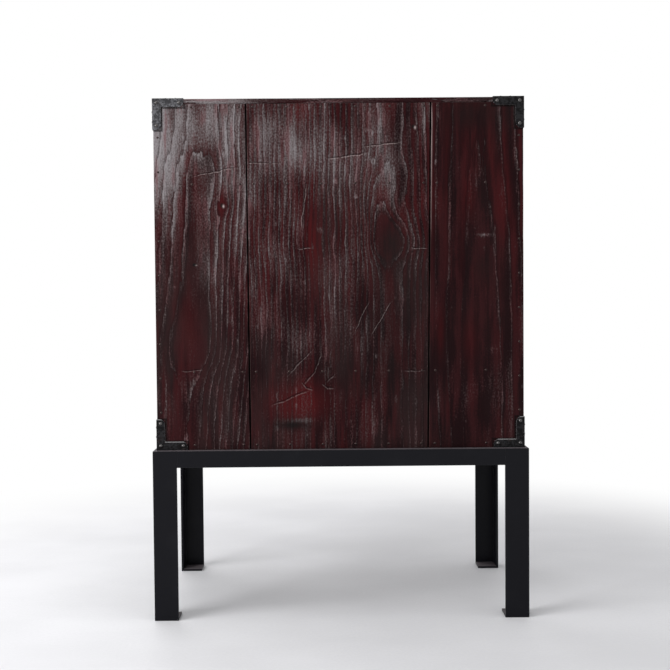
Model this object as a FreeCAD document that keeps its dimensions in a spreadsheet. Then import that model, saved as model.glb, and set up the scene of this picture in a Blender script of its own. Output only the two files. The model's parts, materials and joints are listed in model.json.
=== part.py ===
import FreeCAD, Part
import math
import operator
import os
from types import SimpleNamespace

import Sketcher
from FreeCAD import Vector

# A tansu, a wooden chest with iron fittings, standing on a welded angle-iron stand.
# Millimetres, +Z up, origin on the floor under the middle of the stand. The front, with drawers
# and sliding doors, faces -Y and the boarded back faces +Y. Left and right are as seen from the
# front, so left is -X.

# Driving dimensions in millimetres: name, value, meaning
DIMENSIONS = (
    ("chest_width", 768, "chest, side to side"),
    ("chest_depth", 424, "chest, front to back"),
    ("chest_height", 730, "chest, bottom to top"),
    ("stand_height", 356, "floor to the seat under the chest"),
    ("stand_side_margin", 8, "stand beyond each side of the chest"),
    ("stand_face_margin", 16, "stand beyond the front and the back of the chest"),
    ("angle_wall", 5, "flange thickness of the stand's angle iron"),
    ("leg_flange", 50, "width of each flange of a leg"),
    ("rail_flange", 35, "width of each flange of a top rail"),
    ("foot_thickness", 5, "plate that closes the bottom of a leg"),
    ("side_thickness", 18, "side boards"),
    ("top_thickness", 24, "top board"),
    ("bottom_thickness", 20, "bottom board"),
    ("back_thickness", 12, "back boards"),
    ("shelf_thickness", 18, "shelves between the rows"),
    ("partition_thickness", 16, "upright between the upper drawers"),
    ("shelf_housing", 6, "how far shelf ends are let into the sides"),
    ("partition_housing", 4, "how far the partition is let in above and below"),
    ("rear_lip", 10, "edge of the top board that shows above the back boards"),
    ("left_board_head", 192, "width of the left back board at the top"),
    ("left_board_foot", 201, "width of the left back board at the foot"),
    ("right_board_head", 192, "width of the right back board at the top"),
    ("right_board_foot", 195, "width of the right back board at the foot"),
    ("board_gap", 3, "open joint between back boards"),
    ("board_lap", 8, "half-lap behind that joint"),
    ("upper_opening", 143, "height of the upper drawers' openings"),
    ("lower_opening", 134, "height of the lower drawer's opening"),
    ("drawer_side_play", 1, "gap beside a drawer"),
    ("drawer_top_play", 1.5, "gap over a drawer"),
    ("drawer_rest_gap", 0.3, "gap under a drawer"),
    ("drawer_rear_play", 4, "gap behind a closed drawer"),
    ("front_thickness", 20, "drawer fronts"),
    ("front_lap", 10, "how far sides and bottom are let into a drawer front"),
    ("wall_thickness", 10, "drawer sides and backs"),
    ("floor_thickness", 8, "drawer bottoms"),
    ("wall_drop", 6, "how far drawer sides stop below the front's top edge"),
    ("track_margin", 8, "chest front to the first door groove"),
    ("groove_width", 15, "width of a door groove"),
    ("groove_wall", 4, "wood left between the two grooves"),
    ("sill_groove", 3, "depth of the grooves below the doors"),
    ("head_groove", 8, "depth of the grooves above the doors"),
    ("door_play", 0.5, "gap at each face of a door in its groove"),
    ("door_rest_gap", 0.3, "gap under a door"),
    ("door_head_play", 3.2, "room above a door to lift it out"),
    ("door_overlap", 28, "how far the closed doors pass each other"),
    ("door_edge_gap", 0.5, "gap between a closed door and the side board"),
    ("cleat_height", 36, "cross-grain cleat at each end of a door"),
    ("tongue_length", 8, "tongue of a door panel in its cleats"),
    ("tongue_thickness", 5, "thickness of that tongue"),
    ("pull_inset", 46, "door edge to the middle of its finger pull"),
    ("pull_radius", 15, "outside of a finger pull's cup"),
    ("pull_rim", 3.5, "rim of a finger pull beyond its cup"),
    ("pull_depth", 8, "depth of a finger pull in the door"),
    ("pull_sheet", 1.2, "iron sheet of a finger pull"),
    ("handle_span", 100, "distance between a handle's two posts"),
    ("handle_drop", 42, "pivot to the middle of the hanging grip"),
    ("handle_bar", 6.5, "diameter of a handle's bar"),
    ("handle_corner", 16, "radius of the grip's lower corners"),
    ("handle_rise", 14, "pivot above the middle of its drawer front"),
    ("lower_handle_inset", 166, "side board to the middle of a lower handle"),
    ("pin_overrun", 3, "bar end beyond its eye"),
    ("eye_play", 0.3, "gap round and beside a handle's bar at its eye"),
    ("eye_wall", 2.6, "iron round the bar in an eye"),
    ("eye_length", 7, "length of an eye along the bar"),
    ("eye_standoff", 2.4, "drawer face to the eye"),
    ("rosette_radius", 12, "round plate behind an eye"),
    ("rosette_thickness", 2, "thickness of that plate"),
    ("post_radius", 2.5, "shank of a post through the drawer front"),
    ("post_tail", 5, "shank behind the drawer front"),
    ("hole_play", 0.15, "gap round a shank, pull or nail in its hole"),
    ("sheet_thickness", 1.6, "iron sheet of corner fittings and lock plate"),
    ("plate_width", 112, "lock plate, side to side"),
    ("plate_height", 88, "lock plate, top to bottom"),
    ("plate_notch", 14, "square notch at each corner of the lock plate"),
    ("plate_inset", 7, "lock plate below the drawer front's top edge"),
    ("key_width", 5.5, "slot for the key, side to side"),
    ("key_height", 15, "slot for the key, top to bottom"),
    ("case_width", 76, "lock case, side to side"),
    ("case_height", 56, "lock case, top to bottom"),
    ("case_depth", 17, "lock case, front to back"),
    ("case_wall", 4, "front and rear walls of the lock case"),
    ("case_floor", 15, "lock case below its bolt"),
    ("case_inset", 2, "lock case below the drawer front's top edge"),
    ("bolt_width", 30, "lock bolt, side to side"),
    ("bolt_play", 0.3, "gap round the bolt in its case"),
    ("bolt_throw", 12, "how far the bolt rises"),
    ("mortise_play", 1, "gap round the raised bolt in the shelf"),
    ("fitting_arm", 65, "length of each arm of a corner fitting"),
    ("fitting_width", 18, "width of each arm"),
    ("fitting_round", 11, "rounded inner corner at the end of an arm"),
    ("stud_radius", 4.2, "domed head of a fitting nail"),
    ("stud_height", 2.6, "rise of that head"),
    ("brad_radius", 2.4, "head of a back-board nail"),
    ("brad_height", 0.9, "rise of that head"),
    ("shank_radius", 1.2, "shank of every nail"),
    ("nail_cover", 5, "wood of a side board left beyond a nail's point"),
    ("brad_spacing", 74, "distance between back-board nails"),
    ("brad_margin", 14, "board joint or corner fitting to the nearest back-board nail"),
)
JOINT_FINGERS = 7  # fingers of each corner joint, counted from front to rear
SIDEWAYS = Vector(1, 0, 0)
BACKWARDS = Vector(0, 1, 0)
UPWARDS = Vector(0, 0, 1)
SAME_PLACE = 0.01  # two points this close are one point

OPERATIONS = {"+": operator.add, "-": operator.sub, "*": operator.mul, "/": operator.truediv}


class Size:
    """A length as a number, and as the expression over the spreadsheet that gives it."""

    def __init__(self, value, text):
        self.value = value
        self.text = text

    def __add__(self, other):
        return joined(self, "+", other)

    def __sub__(self, other):
        return joined(self, "-", other)

    def __mul__(self, other):
        return joined(self, "*", other)

    def __truediv__(self, other):
        return joined(self, "/", other)

    def __neg__(self):
        return joined(0, "-", self)


def as_size(item):
    return item if isinstance(item, Size) else Size(float(item), str(item))


def joined(left, sign, right):
    left = as_size(left)
    right = as_size(right)
    return Size(OPERATIONS[sign](left.value, right.value), f"({left.text} {sign} {right.text})")


def smaller(one, other):
    return Size(min(one.value, other.value), f"min({one.text}; {other.text})")


# Document, spreadsheet and the named sizes
doc = FreeCAD.newDocument("tansu")
sheet = doc.addObject("Spreadsheet::Sheet", "Dims")
for row, (name, number, meaning) in enumerate(DIMENSIONS, start=1):
    sheet.set(f"A{row}", meaning)
    sheet.set(f"B{row}", str(number))
    sheet.setAlias(f"B{row}", name)
doc.recompute()
dim = SimpleNamespace(**{name: Size(float(sheet.get(name)), f"Dims.{name}") for name, _, _ in DIMENSIONS})
nodes = {}


# Building blocks
def bind(thing, attribute, size):
    thing.setExpression(attribute, as_size(size).text)


def place(thing, x, y, z):
    for axis, size in (("x", x), ("y", y), ("z", z)):
        bind(thing, f"Placement.Base.{axis}", size)


def node(label, thing):
    """Registers a finished piece under the name of its file."""
    thing.Label = label
    nodes[label] = thing
    return thing


def box(name, x, y, z):
    """A block between two planes in each direction."""
    piece = doc.addObject("Part::Box", name)
    for edge, (start, end) in (("Length", x), ("Width", y), ("Height", z)):
        bind(piece, edge, end - start)
    place(piece, x[0], y[0], z[0])
    return piece


def rod_backwards(name, radius, x, y, z):
    """A round rod along Y, from the first to the second value of y."""
    piece = doc.addObject("Part::Cylinder", name)
    bind(piece, "Radius", radius)
    bind(piece, "Height", y[1] - y[0])
    piece.Placement.Rotation = FreeCAD.Rotation(UPWARDS, BACKWARDS)
    place(piece, x, y[0], z)
    return piece


def group(name, members):
    piece = doc.addObject("Part::Compound", name)
    piece.Links = members
    return piece


def cut(name, blank, tools):
    piece = doc.addObject("Part::Cut", name)
    piece.Base = blank
    piece.Tool = tools[0] if len(tools) == 1 else group(f"{name}_cutters", tools)
    return piece


def mirrored(name, source, normal):
    """The piece reflected in the plane through the origin with that normal."""
    piece = doc.addObject("Part::Mirroring", name)
    piece.Source = source
    piece.Normal = normal
    return piece


def new_body(name):
    return doc.addObject("PartDesign::Body", name)


def sketch(body, plane, level=0):
    """A sketch on one of the body's own planes, moved along that plane's normal."""
    drawing = body.newObject("Sketcher::SketchObject", f"{body.Name}_sketch")
    support = next(feature for feature in body.Origin.OriginFeatures if feature.Role == plane)
    drawing.AttachmentSupport = [(support, "")]
    drawing.MapMode = "FlatFace"
    bind(drawing, "AttachmentOffset.Base.z", level)
    return drawing


def spot(across, up):
    """A point of a sketch as plain numbers, where its elements start before they are pinned."""
    return Vector(as_size(across).value, as_size(up).value, 0)


def rule(drawing, size, kind, *elements):
    """A dimension of a sketch, driven by a size."""
    number = drawing.addConstraint(Sketcher.Constraint(kind, *elements, as_size(size).value))
    bind(drawing, f"Constraints[{number}]", size)


def pin_point(drawing, element, end, across, up):
    """Fixes one point of a sketch element."""
    rule(drawing, across, "DistanceX", -1, 1, element, end)
    rule(drawing, up, "DistanceY", -1, 1, element, end)


def outline(drawing, corners):
    """A closed polygon with every corner pinned."""
    first = drawing.GeometryCount
    count = len(corners)
    for i in range(count):
        side = Part.LineSegment(spot(*corners[i]), spot(*corners[(i + 1) % count]))
        drawing.addGeometry(side, False)
    for i in range(count):
        following = first + (i + 1) % count
        drawing.addConstraint(Sketcher.Constraint("Coincident", first + i, 2, following, 1))
        pin_point(drawing, first + i, 1, *corners[i])


def rectangle(drawing, across, up):
    corners = [(across[0], up[0]), (across[1], up[0]), (across[1], up[1]), (across[0], up[1])]
    outline(drawing, corners)


def ring(drawing, across, up, radius):
    """A circle with its centre pinned."""
    circle = drawing.addGeometry(Part.Circle(spot(across, up), UPWARDS, radius.value), False)
    pin_point(drawing, circle, 3, across, up)
    rule(drawing, radius, "Radius", circle)


def pad(body, drawing, length, side="One side", backwards=False):
    feature = body.newObject("PartDesign::Pad", f"{body.Name}_pad")
    feature.Profile = drawing
    feature.SideType = side
    feature.Reversed = backwards
    bind(feature, "Length", length)
    return feature


def revolve(body, drawing):
    """Turns a half profile about the sketch's upright axis."""
    feature = body.newObject("PartDesign::Revolution", f"{body.Name}_turn")
    feature.Profile = drawing
    feature.ReferenceAxis = (drawing, ["V_Axis"])
    feature.Angle = 360
    return feature


# Places that several pieces share
CHEST_SIDE = dim.chest_width / 2
CHEST_REAR = dim.chest_depth / 2
CHEST_FRONT = -CHEST_REAR
CHEST_FOOT = dim.stand_height
CHEST_TOP = CHEST_FOOT + dim.chest_height
INNER_SIDE = CHEST_SIDE - dim.side_thickness
INNER_REAR = CHEST_REAR - dim.back_thickness
INNER_TOP = CHEST_TOP - dim.top_thickness
INNER_FOOT = CHEST_FOOT + dim.bottom_thickness
BACK_TOP = CHEST_TOP - dim.rear_lip
UPPER_SHELF = (INNER_TOP - dim.upper_opening - dim.shelf_thickness, INNER_TOP - dim.upper_opening)
LOWER_SHELF = (INNER_FOOT + dim.lower_opening, INNER_FOOT + dim.lower_opening + dim.shelf_thickness)
WHOLE_WIDTH = (-CHEST_SIDE, CHEST_SIDE)
INNER_WIDTH = (-INNER_SIDE, INNER_SIDE)
INNER_DEPTH = (CHEST_FRONT, INNER_REAR)
STAND_SIDE = CHEST_SIDE + dim.stand_side_margin
STAND_REAR = CHEST_REAR + dim.stand_face_margin


# Stand: angle-iron legs closed by foot plates, and rails whose level flanges carry the chest
def at_four_corners(name, piece):
    """The piece of the right rear corner and its three reflections, by corner."""
    back_left = mirrored(f"{name}_back_left", piece, SIDEWAYS)
    return {
        "back_right": piece,
        "back_left": back_left,
        "front_right": mirrored(f"{name}_front_right", piece, BACKWARDS),
        "front_left": mirrored(f"{name}_front_left", back_left, BACKWARDS),
    }


def stand_legs():
    leg = new_body("stand_leg")
    end_x = STAND_SIDE - dim.leg_flange
    end_y = STAND_REAR - dim.leg_flange
    inner_x = STAND_SIDE - dim.angle_wall
    inner_y = STAND_REAR - dim.angle_wall
    profile = sketch(leg, "XY_Plane")
    corners = [(STAND_SIDE, STAND_REAR), (end_x, STAND_REAR), (end_x, inner_y)]
    corners += [(inner_x, inner_y), (inner_x, end_y), (STAND_SIDE, end_y)]
    outline(profile, corners)
    pad(leg, profile, dim.stand_height)
    for corner, piece in at_four_corners("stand_leg", leg).items():
        node(f"stand_leg_{corner}", piece)
    plate = box("foot_plate", (end_x, inner_x), (end_y, inner_y), (as_size(0), dim.foot_thickness))
    node("foot_plates", group("foot_plates", list(at_four_corners("foot_plate", plate).values())))


def stand_rail(name, seat_corners, web_x, web_y):
    """A rail: a level flange with mitred ends, and an upright flange between two legs."""
    rail = new_body(name)
    seat = sketch(rail, "XY_Plane", dim.stand_height - dim.angle_wall)
    outline(seat, seat_corners)
    pad(rail, seat, dim.angle_wall)
    web = sketch(rail, "XY_Plane", dim.stand_height - dim.rail_flange)
    rectangle(web, web_x, web_y)
    pad(rail, web, dim.rail_flange)
    return node(name, rail)


def stand_rails():
    outer = (STAND_SIDE - dim.angle_wall, STAND_REAR - dim.angle_wall)
    inner = (STAND_SIDE - dim.rail_flange, STAND_REAR - dim.rail_flange)
    leg_x = STAND_SIDE - dim.leg_flange
    leg_y = STAND_REAR - dim.leg_flange
    back = stand_rail(
        "stand_rail_back",
        [outer, (-outer[0], outer[1]), (-inner[0], inner[1]), inner],
        (-leg_x, leg_x),
        (outer[1], STAND_REAR),
    )
    right = stand_rail(
        "stand_rail_right",
        [outer, inner, (inner[0], -inner[1]), (outer[0], -outer[1])],
        (outer[0], STAND_SIDE),
        (-leg_y, leg_y),
    )
    node("stand_rail_front", mirrored("stand_rail_front", back, BACKWARDS))
    node("stand_rail_left", mirrored("stand_rail_left", right, SIDEWAYS))


# Carcass: four finger-jointed boards, and shelves and a partition let into them
def joint_notches(name, x, z, first):
    """Cutters for every second finger of a corner joint, counted from the front."""
    step = (INNER_REAR - CHEST_FRONT) / JOINT_FINGERS
    notches = []
    for i in range(first, JOINT_FINGERS, 2):
        start = CHEST_FRONT + step * i
        notches.append(box(f"{name}_{i}", x, (start, start + step), z))
    return notches


def end_board(name, rear, z, extra_cuts):
    """The top or bottom board, notched at both ends for the fingers of the sides."""
    blank = box(f"{name}_blank", WHOLE_WIDTH, (CHEST_FRONT, rear), z)
    notches = joint_notches(f"{name}_left_notch", (-CHEST_SIDE, -INNER_SIDE), z, 1)
    notches += joint_notches(f"{name}_right_notch", (INNER_SIDE, CHEST_SIDE), z, 1)
    node(name, cut(name, blank, notches + extra_cuts))


def side_boards():
    x = (-CHEST_SIDE, -INNER_SIDE)
    housing = (-INNER_SIDE - dim.shelf_housing, -INNER_SIDE)
    blank = box("side_board_blank", x, INNER_DEPTH, (CHEST_FOOT, CHEST_TOP))
    cutters = joint_notches("side_head_notch", x, (INNER_TOP, CHEST_TOP), 0)
    cutters += joint_notches("side_foot_notch", x, (CHEST_FOOT, INNER_FOOT), 0)
    cutters.append(box("upper_shelf_housing", housing, INNER_DEPTH, UPPER_SHELF))
    cutters.append(box("lower_shelf_housing", housing, INNER_DEPTH, LOWER_SHELF))
    left = node("side_board_left", cut("side_board_left", blank, cutters))
    node("side_board_right", mirrored("side_board_right", left, SIDEWAYS))


def door_groove(track):
    """Front and rear of one of the two grooves that the doors run in."""
    start = CHEST_FRONT + dim.track_margin + (dim.groove_width + dim.groove_wall) * track
    return (start, start + dim.groove_width)


def shelf(name, z, groove_z, extra_cut):
    reach = INNER_SIDE + dim.shelf_housing
    blank = box(f"{name}_blank", (-reach, reach), INNER_DEPTH, z)
    cutters = [box(f"{name}_groove_{track}", INNER_WIDTH, door_groove(track), groove_z) for track in (0, 1)]
    node(name, cut(name, blank, cutters + [extra_cut]))


def partition_block(name, z):
    half = dim.partition_thickness / 2
    return box(name, (-half, half), INNER_DEPTH, z)


def carcass():
    head = INNER_TOP + dim.partition_housing
    foot = UPPER_SHELF[1] - dim.partition_housing
    rebate = box("top_rebate", WHOLE_WIDTH, (INNER_REAR, CHEST_REAR), (INNER_TOP, BACK_TOP))
    head_slot = partition_block("partition_head_slot", (INNER_TOP, head))
    foot_slot = partition_block("partition_foot_slot", (foot, UPPER_SHELF[1]))
    end_board("top_board", CHEST_REAR, (INNER_TOP, CHEST_TOP), [rebate, head_slot])
    end_board("bottom_board", INNER_REAR, (CHEST_FOOT, INNER_FOOT), [])
    side_boards()
    shelf("upper_shelf", UPPER_SHELF, (UPPER_SHELF[0], UPPER_SHELF[0] + dim.head_groove), foot_slot)
    shelf("lower_shelf", LOWER_SHELF, (LOWER_SHELF[1] - dim.sill_groove, LOWER_SHELF[1]), bolt_mortise())
    node("centre_partition", partition_block("centre_partition", (foot, head)))


# Back: three boards with half-lapped open joints that run slightly out of plumb
LEFT_JOINT = (dim.left_board_foot - CHEST_SIDE, dim.left_board_head - CHEST_SIDE)
RIGHT_JOINT = (CHEST_SIDE - dim.right_board_foot, CHEST_SIDE - dim.right_board_head)


def moved(edge, shift):
    return tuple(end + shift for end in edge)


def back_layer(board, left, right, near):
    """One half of a board's thickness, between two edges given as (foot, top) in X."""
    profile = sketch(board, "XZ_Plane", -near)
    corners = [(left[0], CHEST_FOOT), (right[0], CHEST_FOOT), (right[1], BACK_TOP), (left[1], BACK_TOP)]
    outline(profile, corners)
    pad(board, profile, dim.back_thickness / 2, backwards=True)


def back_board(name, left, right, left_lap, right_lap):
    """A board whose inner half runs past its left and right edges by the given laps."""
    board = new_body(name)
    back_layer(board, left, right, CHEST_REAR - dim.back_thickness / 2)
    back_layer(board, moved(left, -left_lap), moved(right, right_lap), INNER_REAR)
    node(name, board)


def back_boards():
    gap = dim.board_gap / 2
    lap = dim.board_lap
    none = as_size(0)
    outer_left = (-CHEST_SIDE, -CHEST_SIDE)
    outer_right = (CHEST_SIDE, CHEST_SIDE)
    back_board("back_board_left", outer_left, moved(LEFT_JOINT, -gap), none, lap)
    back_board("back_board_centre", moved(LEFT_JOINT, gap), moved(RIGHT_JOINT, -gap), -lap, -lap)
    back_board("back_board_right", moved(RIGHT_JOINT, gap), outer_right, lap, none)


# Sliding doors: a panel tongued into a cleat at each end, with a sunk finger pull
DOOR_Z = (
    LOWER_SHELF[1] - dim.sill_groove + dim.door_rest_gap,
    UPPER_SHELF[0] + dim.head_groove - dim.door_head_play,
)
DOOR_PANEL_Z = (DOOR_Z[0] + dim.cleat_height, DOOR_Z[1] - dim.cleat_height)
DOOR_PULL_Z = (DOOR_Z[0] + DOOR_Z[1]) / 2


def door(name, track, x, pull_x):
    groove = door_groove(track)
    y = (groove[0] + dim.door_play, groove[1] - dim.door_play)
    tongue_front = (y[0] + y[1] - dim.tongue_thickness) / 2
    tongue_y = (tongue_front, tongue_front + dim.tongue_thickness)
    tongue_z = (DOOR_PANEL_Z[0] - dim.tongue_length, DOOR_PANEL_Z[1] + dim.tongue_length)
    board = doc.addObject("Part::Fuse", f"{name}_board")
    board.Base = box(f"{name}_field", x, y, DOOR_PANEL_Z)
    board.Tool = box(f"{name}_tongues", x, tongue_y, tongue_z)
    sunk = (y[0], y[0] + dim.pull_depth + dim.hole_play)
    hole = rod_backwards(f"{name}_pull_hole", dim.pull_radius + dim.hole_play, pull_x, sunk, DOOR_PULL_Z)
    node(f"{name}_panel", cut(f"{name}_panel", board, [hole]))
    foot_blank = box(f"{name}_foot_blank", x, y, (DOOR_Z[0], DOOR_PANEL_Z[0]))
    foot_groove = box(f"{name}_foot_groove", x, tongue_y, (tongue_z[0], DOOR_PANEL_Z[0]))
    head_blank = box(f"{name}_head_blank", x, y, (DOOR_PANEL_Z[1], DOOR_Z[1]))
    head_groove = box(f"{name}_head_groove", x, tongue_y, (DOOR_PANEL_Z[1], tongue_z[1]))
    foot = cut(f"{name}_foot_cleat", foot_blank, [foot_groove])
    head = cut(f"{name}_head_cleat", head_blank, [head_groove])
    node(f"{name}_cleats", group(f"{name}_cleats", [foot, head]))
    node(f"{name}_pull", finger_pull(f"{name}_pull", pull_x, y[0]))


def finger_pull(name, x, face):
    """A round cup with a rim, turned from its half profile."""
    cup = new_body(name)
    profile = sketch(cup, "XY_Plane")
    inside = dim.pull_radius - dim.pull_sheet
    rim = dim.pull_radius + dim.pull_rim
    floor = dim.pull_depth - dim.pull_sheet
    corners = [(0, dim.pull_depth), (dim.pull_radius, dim.pull_depth), (dim.pull_radius, 0), (rim, 0)]
    corners += [(rim, -dim.pull_sheet), (inside, -dim.pull_sheet), (inside, floor), (0, floor)]
    outline(profile, corners)
    revolve(cup, profile)
    place(cup, x, face, DOOR_PULL_Z)
    return cup


def sliding_doors():
    edge = INNER_SIDE - dim.door_edge_gap
    inner_edge = -dim.door_overlap / 2
    door("right_door", 0, (inner_edge, edge), edge - dim.pull_inset)
    door("left_door", 1, (-edge, -inner_edge), dim.pull_inset - edge)


# Drawers: a thick front, with sides, back and bottom let into it
FACE_REAR = CHEST_FRONT + dim.front_thickness
LAP_Y = (FACE_REAR - dim.front_lap, FACE_REAR)
DRAWER_REAR = INNER_REAR - dim.drawer_rear_play
WALL_Y = (LAP_Y[0], DRAWER_REAR)
EYE_BORE = dim.handle_bar / 2 + dim.eye_play
EYE_RADIUS = EYE_BORE + dim.eye_wall
PIVOT_OFFSET = dim.eye_standoff + EYE_RADIUS


def drawer_space(opening_x, opening_z):
    """Extents of a drawer's pieces in its opening."""
    x = (opening_x[0] + dim.drawer_side_play, opening_x[1] - dim.drawer_side_play)
    z = (opening_z[0] + dim.drawer_rest_gap, opening_z[1] - dim.drawer_top_play)
    floor_z = (z[0], z[0] + dim.floor_thickness)
    return SimpleNamespace(
        x=x,
        z=z,
        floor_z=floor_z,
        wall_z=(floor_z[1], z[1] - dim.wall_drop),
        left_x=(x[0], x[0] + dim.wall_thickness),
        right_x=(x[1] - dim.wall_thickness, x[1]),
        pivot_z=(z[0] + z[1]) / 2 + dim.handle_rise,
    )


def drawer(name, space, handles, front_cuts):
    """All fixed pieces of a drawer, for handles at the given places."""
    posts_x = [middle + dim.handle_span / 2 * side for middle in handles for side in (-1, 1)]
    cutters = [
        box(f"{name}_left_lap", space.left_x, LAP_Y, space.wall_z),
        box(f"{name}_right_lap", space.right_x, LAP_Y, space.wall_z),
        box(f"{name}_floor_lap", space.x, LAP_Y, space.floor_z),
    ]
    bore = dim.post_radius + dim.hole_play
    face_y = (CHEST_FRONT, FACE_REAR)
    for i, x in enumerate(posts_x):
        cutters.append(rod_backwards(f"{name}_post_hole_{i}", bore, x, face_y, space.pivot_z))
    blank = box(f"{name}_front_blank", space.x, face_y, space.z)
    node(f"{name}_front", cut(f"{name}_front", blank, cutters + front_cuts))
    node(f"{name}_side_left", box(f"{name}_side_left", space.left_x, WALL_Y, space.wall_z))
    node(f"{name}_side_right", box(f"{name}_side_right", space.right_x, WALL_Y, space.wall_z))
    node(f"{name}_bottom", box(f"{name}_bottom", space.x, WALL_Y, space.floor_z))
    back_x = (space.left_x[1], space.right_x[0])
    back_y = (DRAWER_REAR - dim.wall_thickness, DRAWER_REAR)
    back_z = (space.wall_z[0], space.wall_z[1] - dim.wall_drop)
    node(f"{name}_back", box(f"{name}_back", back_x, back_y, back_z))
    posts = [handle_post(f"{name}_post_{i}", x, space.pivot_z) for i, x in enumerate(posts_x)]
    node(f"{name}_handle_posts", group(f"{name}_handle_posts", posts))


def handle_post(name, x, z):
    """A post through the drawer front: shank, rosette, neck, and an eye for the handle's bar."""
    post = new_body(name)
    tail = dim.front_thickness + dim.post_tail
    profile = sketch(post, "XY_Plane")
    corners = [(0, tail), (dim.post_radius, tail), (dim.post_radius, 0), (dim.rosette_radius, 0)]
    corners.append((dim.post_radius * 2, -dim.rosette_thickness))
    corners += [(dim.post_radius, -PIVOT_OFFSET), (0, -PIVOT_OFFSET)]
    outline(profile, corners)
    revolve(post, profile)
    knuckle = sketch(post, "YZ_Plane")
    ring(knuckle, -PIVOT_OFFSET, 0, EYE_RADIUS)
    pad(post, knuckle, dim.eye_length, side="Symmetric")
    hole = sketch(post, "YZ_Plane")
    ring(hole, -PIVOT_OFFSET, 0, EYE_BORE)
    pocket = post.newObject("PartDesign::Pocket", f"{name}_bore")
    pocket.Profile = hole
    pocket.SideType = "Symmetric"
    bind(pocket, "Length", dim.eye_length + dim.post_radius * 2)
    place(post, x, CHEST_FRONT, z)
    return post


def handle(name, x, z):
    """A square swing handle: a round bar whose two inturned ends sit in the eyes of its posts."""
    bail = new_body(name)
    pin = (dim.handle_span - dim.eye_length) / 2 - dim.pin_overrun
    spine = sketch(bail, "XZ_Plane")
    bar_path(spine, pin)
    section = sketch(bail, "YZ_Plane", -pin)
    ring(section, 0, 0, dim.handle_bar / 2)
    sweep = bail.newObject("PartDesign::AdditivePipe", f"{name}_bar")
    sweep.Profile = section
    sweep.Spine = (spine, [])
    place(bail, x, CHEST_FRONT - PIVOT_OFFSET, z)
    node(name, bail)


def bar_path(spine, pin):
    """The middle line of a handle's bar: straight runs joined by tangent quarter circles."""
    bend = dim.handle_bar
    grip = dim.handle_corner
    leg = (dim.handle_span + dim.eye_length) / 2 + dim.eye_play + bend
    low = -dim.handle_drop
    runs = (
        ((-pin, 0), (bend - leg, 0)),
        ((-leg, -bend), (-leg, low + grip)),
        ((grip - leg, low), (leg - grip, low)),
        ((leg, low + grip), (leg, -bend)),
        ((leg - bend, 0), (pin, 0)),
    )
    corners = (
        (bend - leg, -bend, bend),
        (grip - leg, low + grip, grip),
        (leg - grip, low + grip, grip),
        (leg - bend, -bend, bend),
    )
    quarter = math.pi / 2
    for start, end in runs:
        spine.addGeometry(Part.LineSegment(spot(*start), spot(*end)), False)
    for i, (across, up, radius) in enumerate(corners):
        circle = Part.Circle(spot(across, up), UPWARDS, radius.value)
        arc = spine.addGeometry(Part.ArcOfCircle(circle, quarter * (i + 1), quarter * (i + 2)), False)
        spine.addConstraint(Sketcher.Constraint("Tangent", i, 2, arc, 1))
        spine.addConstraint(Sketcher.Constraint("Tangent", arc, 2, i + 1, 1))
        rule(spine, radius, "Radius", arc)
    for i in range(len(runs)):
        spine.addConstraint(Sketcher.Constraint("Horizontal" if i % 2 == 0 else "Vertical", i))
    pin_point(spine, 0, 1, -pin, 0)
    pin_point(spine, 4, 2, pin, 0)
    rule(spine, -leg, "DistanceX", -1, 1, 1, 1)
    rule(spine, low, "DistanceY", -1, 1, 2, 1)
    rule(spine, leg, "DistanceX", -1, 1, 3, 1)


def upper_drawers():
    opening_x = (-INNER_SIDE, -dim.partition_thickness / 2)
    space = drawer_space(opening_x, (UPPER_SHELF[1], INNER_TOP))
    middle = (opening_x[0] + opening_x[1]) / 2
    drawer("upper_left_drawer", space, [middle], [])
    swapped = {"side_left": "side_right", "side_right": "side_left"}
    for part in ("front", "side_left", "side_right", "bottom", "back", "handle_posts"):
        label = f"upper_right_drawer_{swapped.get(part, part)}"
        node(label, mirrored(label, nodes[f"upper_left_drawer_{part}"], SIDEWAYS))
    handle("upper_left_handle", middle, space.pivot_z)
    handle("upper_right_handle", -middle, space.pivot_z)


def lower_drawer():
    space = drawer_space(INNER_WIDTH, (INNER_FOOT, LOWER_SHELF[0]))
    reach = INNER_SIDE - dim.lower_handle_inset
    key_way = box("key_way", KEY_X, (CHEST_FRONT, FACE_REAR), KEY_Z)
    drawer("lower_drawer", space, [-reach, reach], [key_way])
    handle("lower_left_handle", -reach, space.pivot_z)
    handle("lower_right_handle", reach, space.pivot_z)


# Lock of the lower drawer: a notched plate, a case behind the front, and a rising bolt
LOWER_FRONT_TOP = LOWER_SHELF[0] - dim.drawer_top_play
CASE_Z = (LOWER_FRONT_TOP - dim.case_inset - dim.case_height, LOWER_FRONT_TOP - dim.case_inset)
CASE_Y = (FACE_REAR, FACE_REAR + dim.case_depth)
BOLT_ROOM_Y = (CASE_Y[0] + dim.case_wall, CASE_Y[1] - dim.case_wall)
BOLT_FOOT = CASE_Z[0] + dim.case_floor
KEY_LEVEL = (CASE_Z[0] + CASE_Z[1]) / 2
KEY_X = (-dim.key_width / 2, dim.key_width / 2)
KEY_Z = (KEY_LEVEL - dim.key_height / 2, KEY_LEVEL + dim.key_height / 2)


def bolt_mortise():
    """Pocket in the lower shelf that takes the raised bolt."""
    half = dim.bolt_width / 2 + dim.mortise_play
    y = (BOLT_ROOM_Y[0] - dim.mortise_play, BOLT_ROOM_Y[1] + dim.mortise_play)
    depth = dim.bolt_throw - dim.case_inset - dim.drawer_top_play + dim.mortise_play
    return box("bolt_mortise", (-half, half), y, (LOWER_SHELF[0], LOWER_SHELF[0] + depth))


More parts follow.
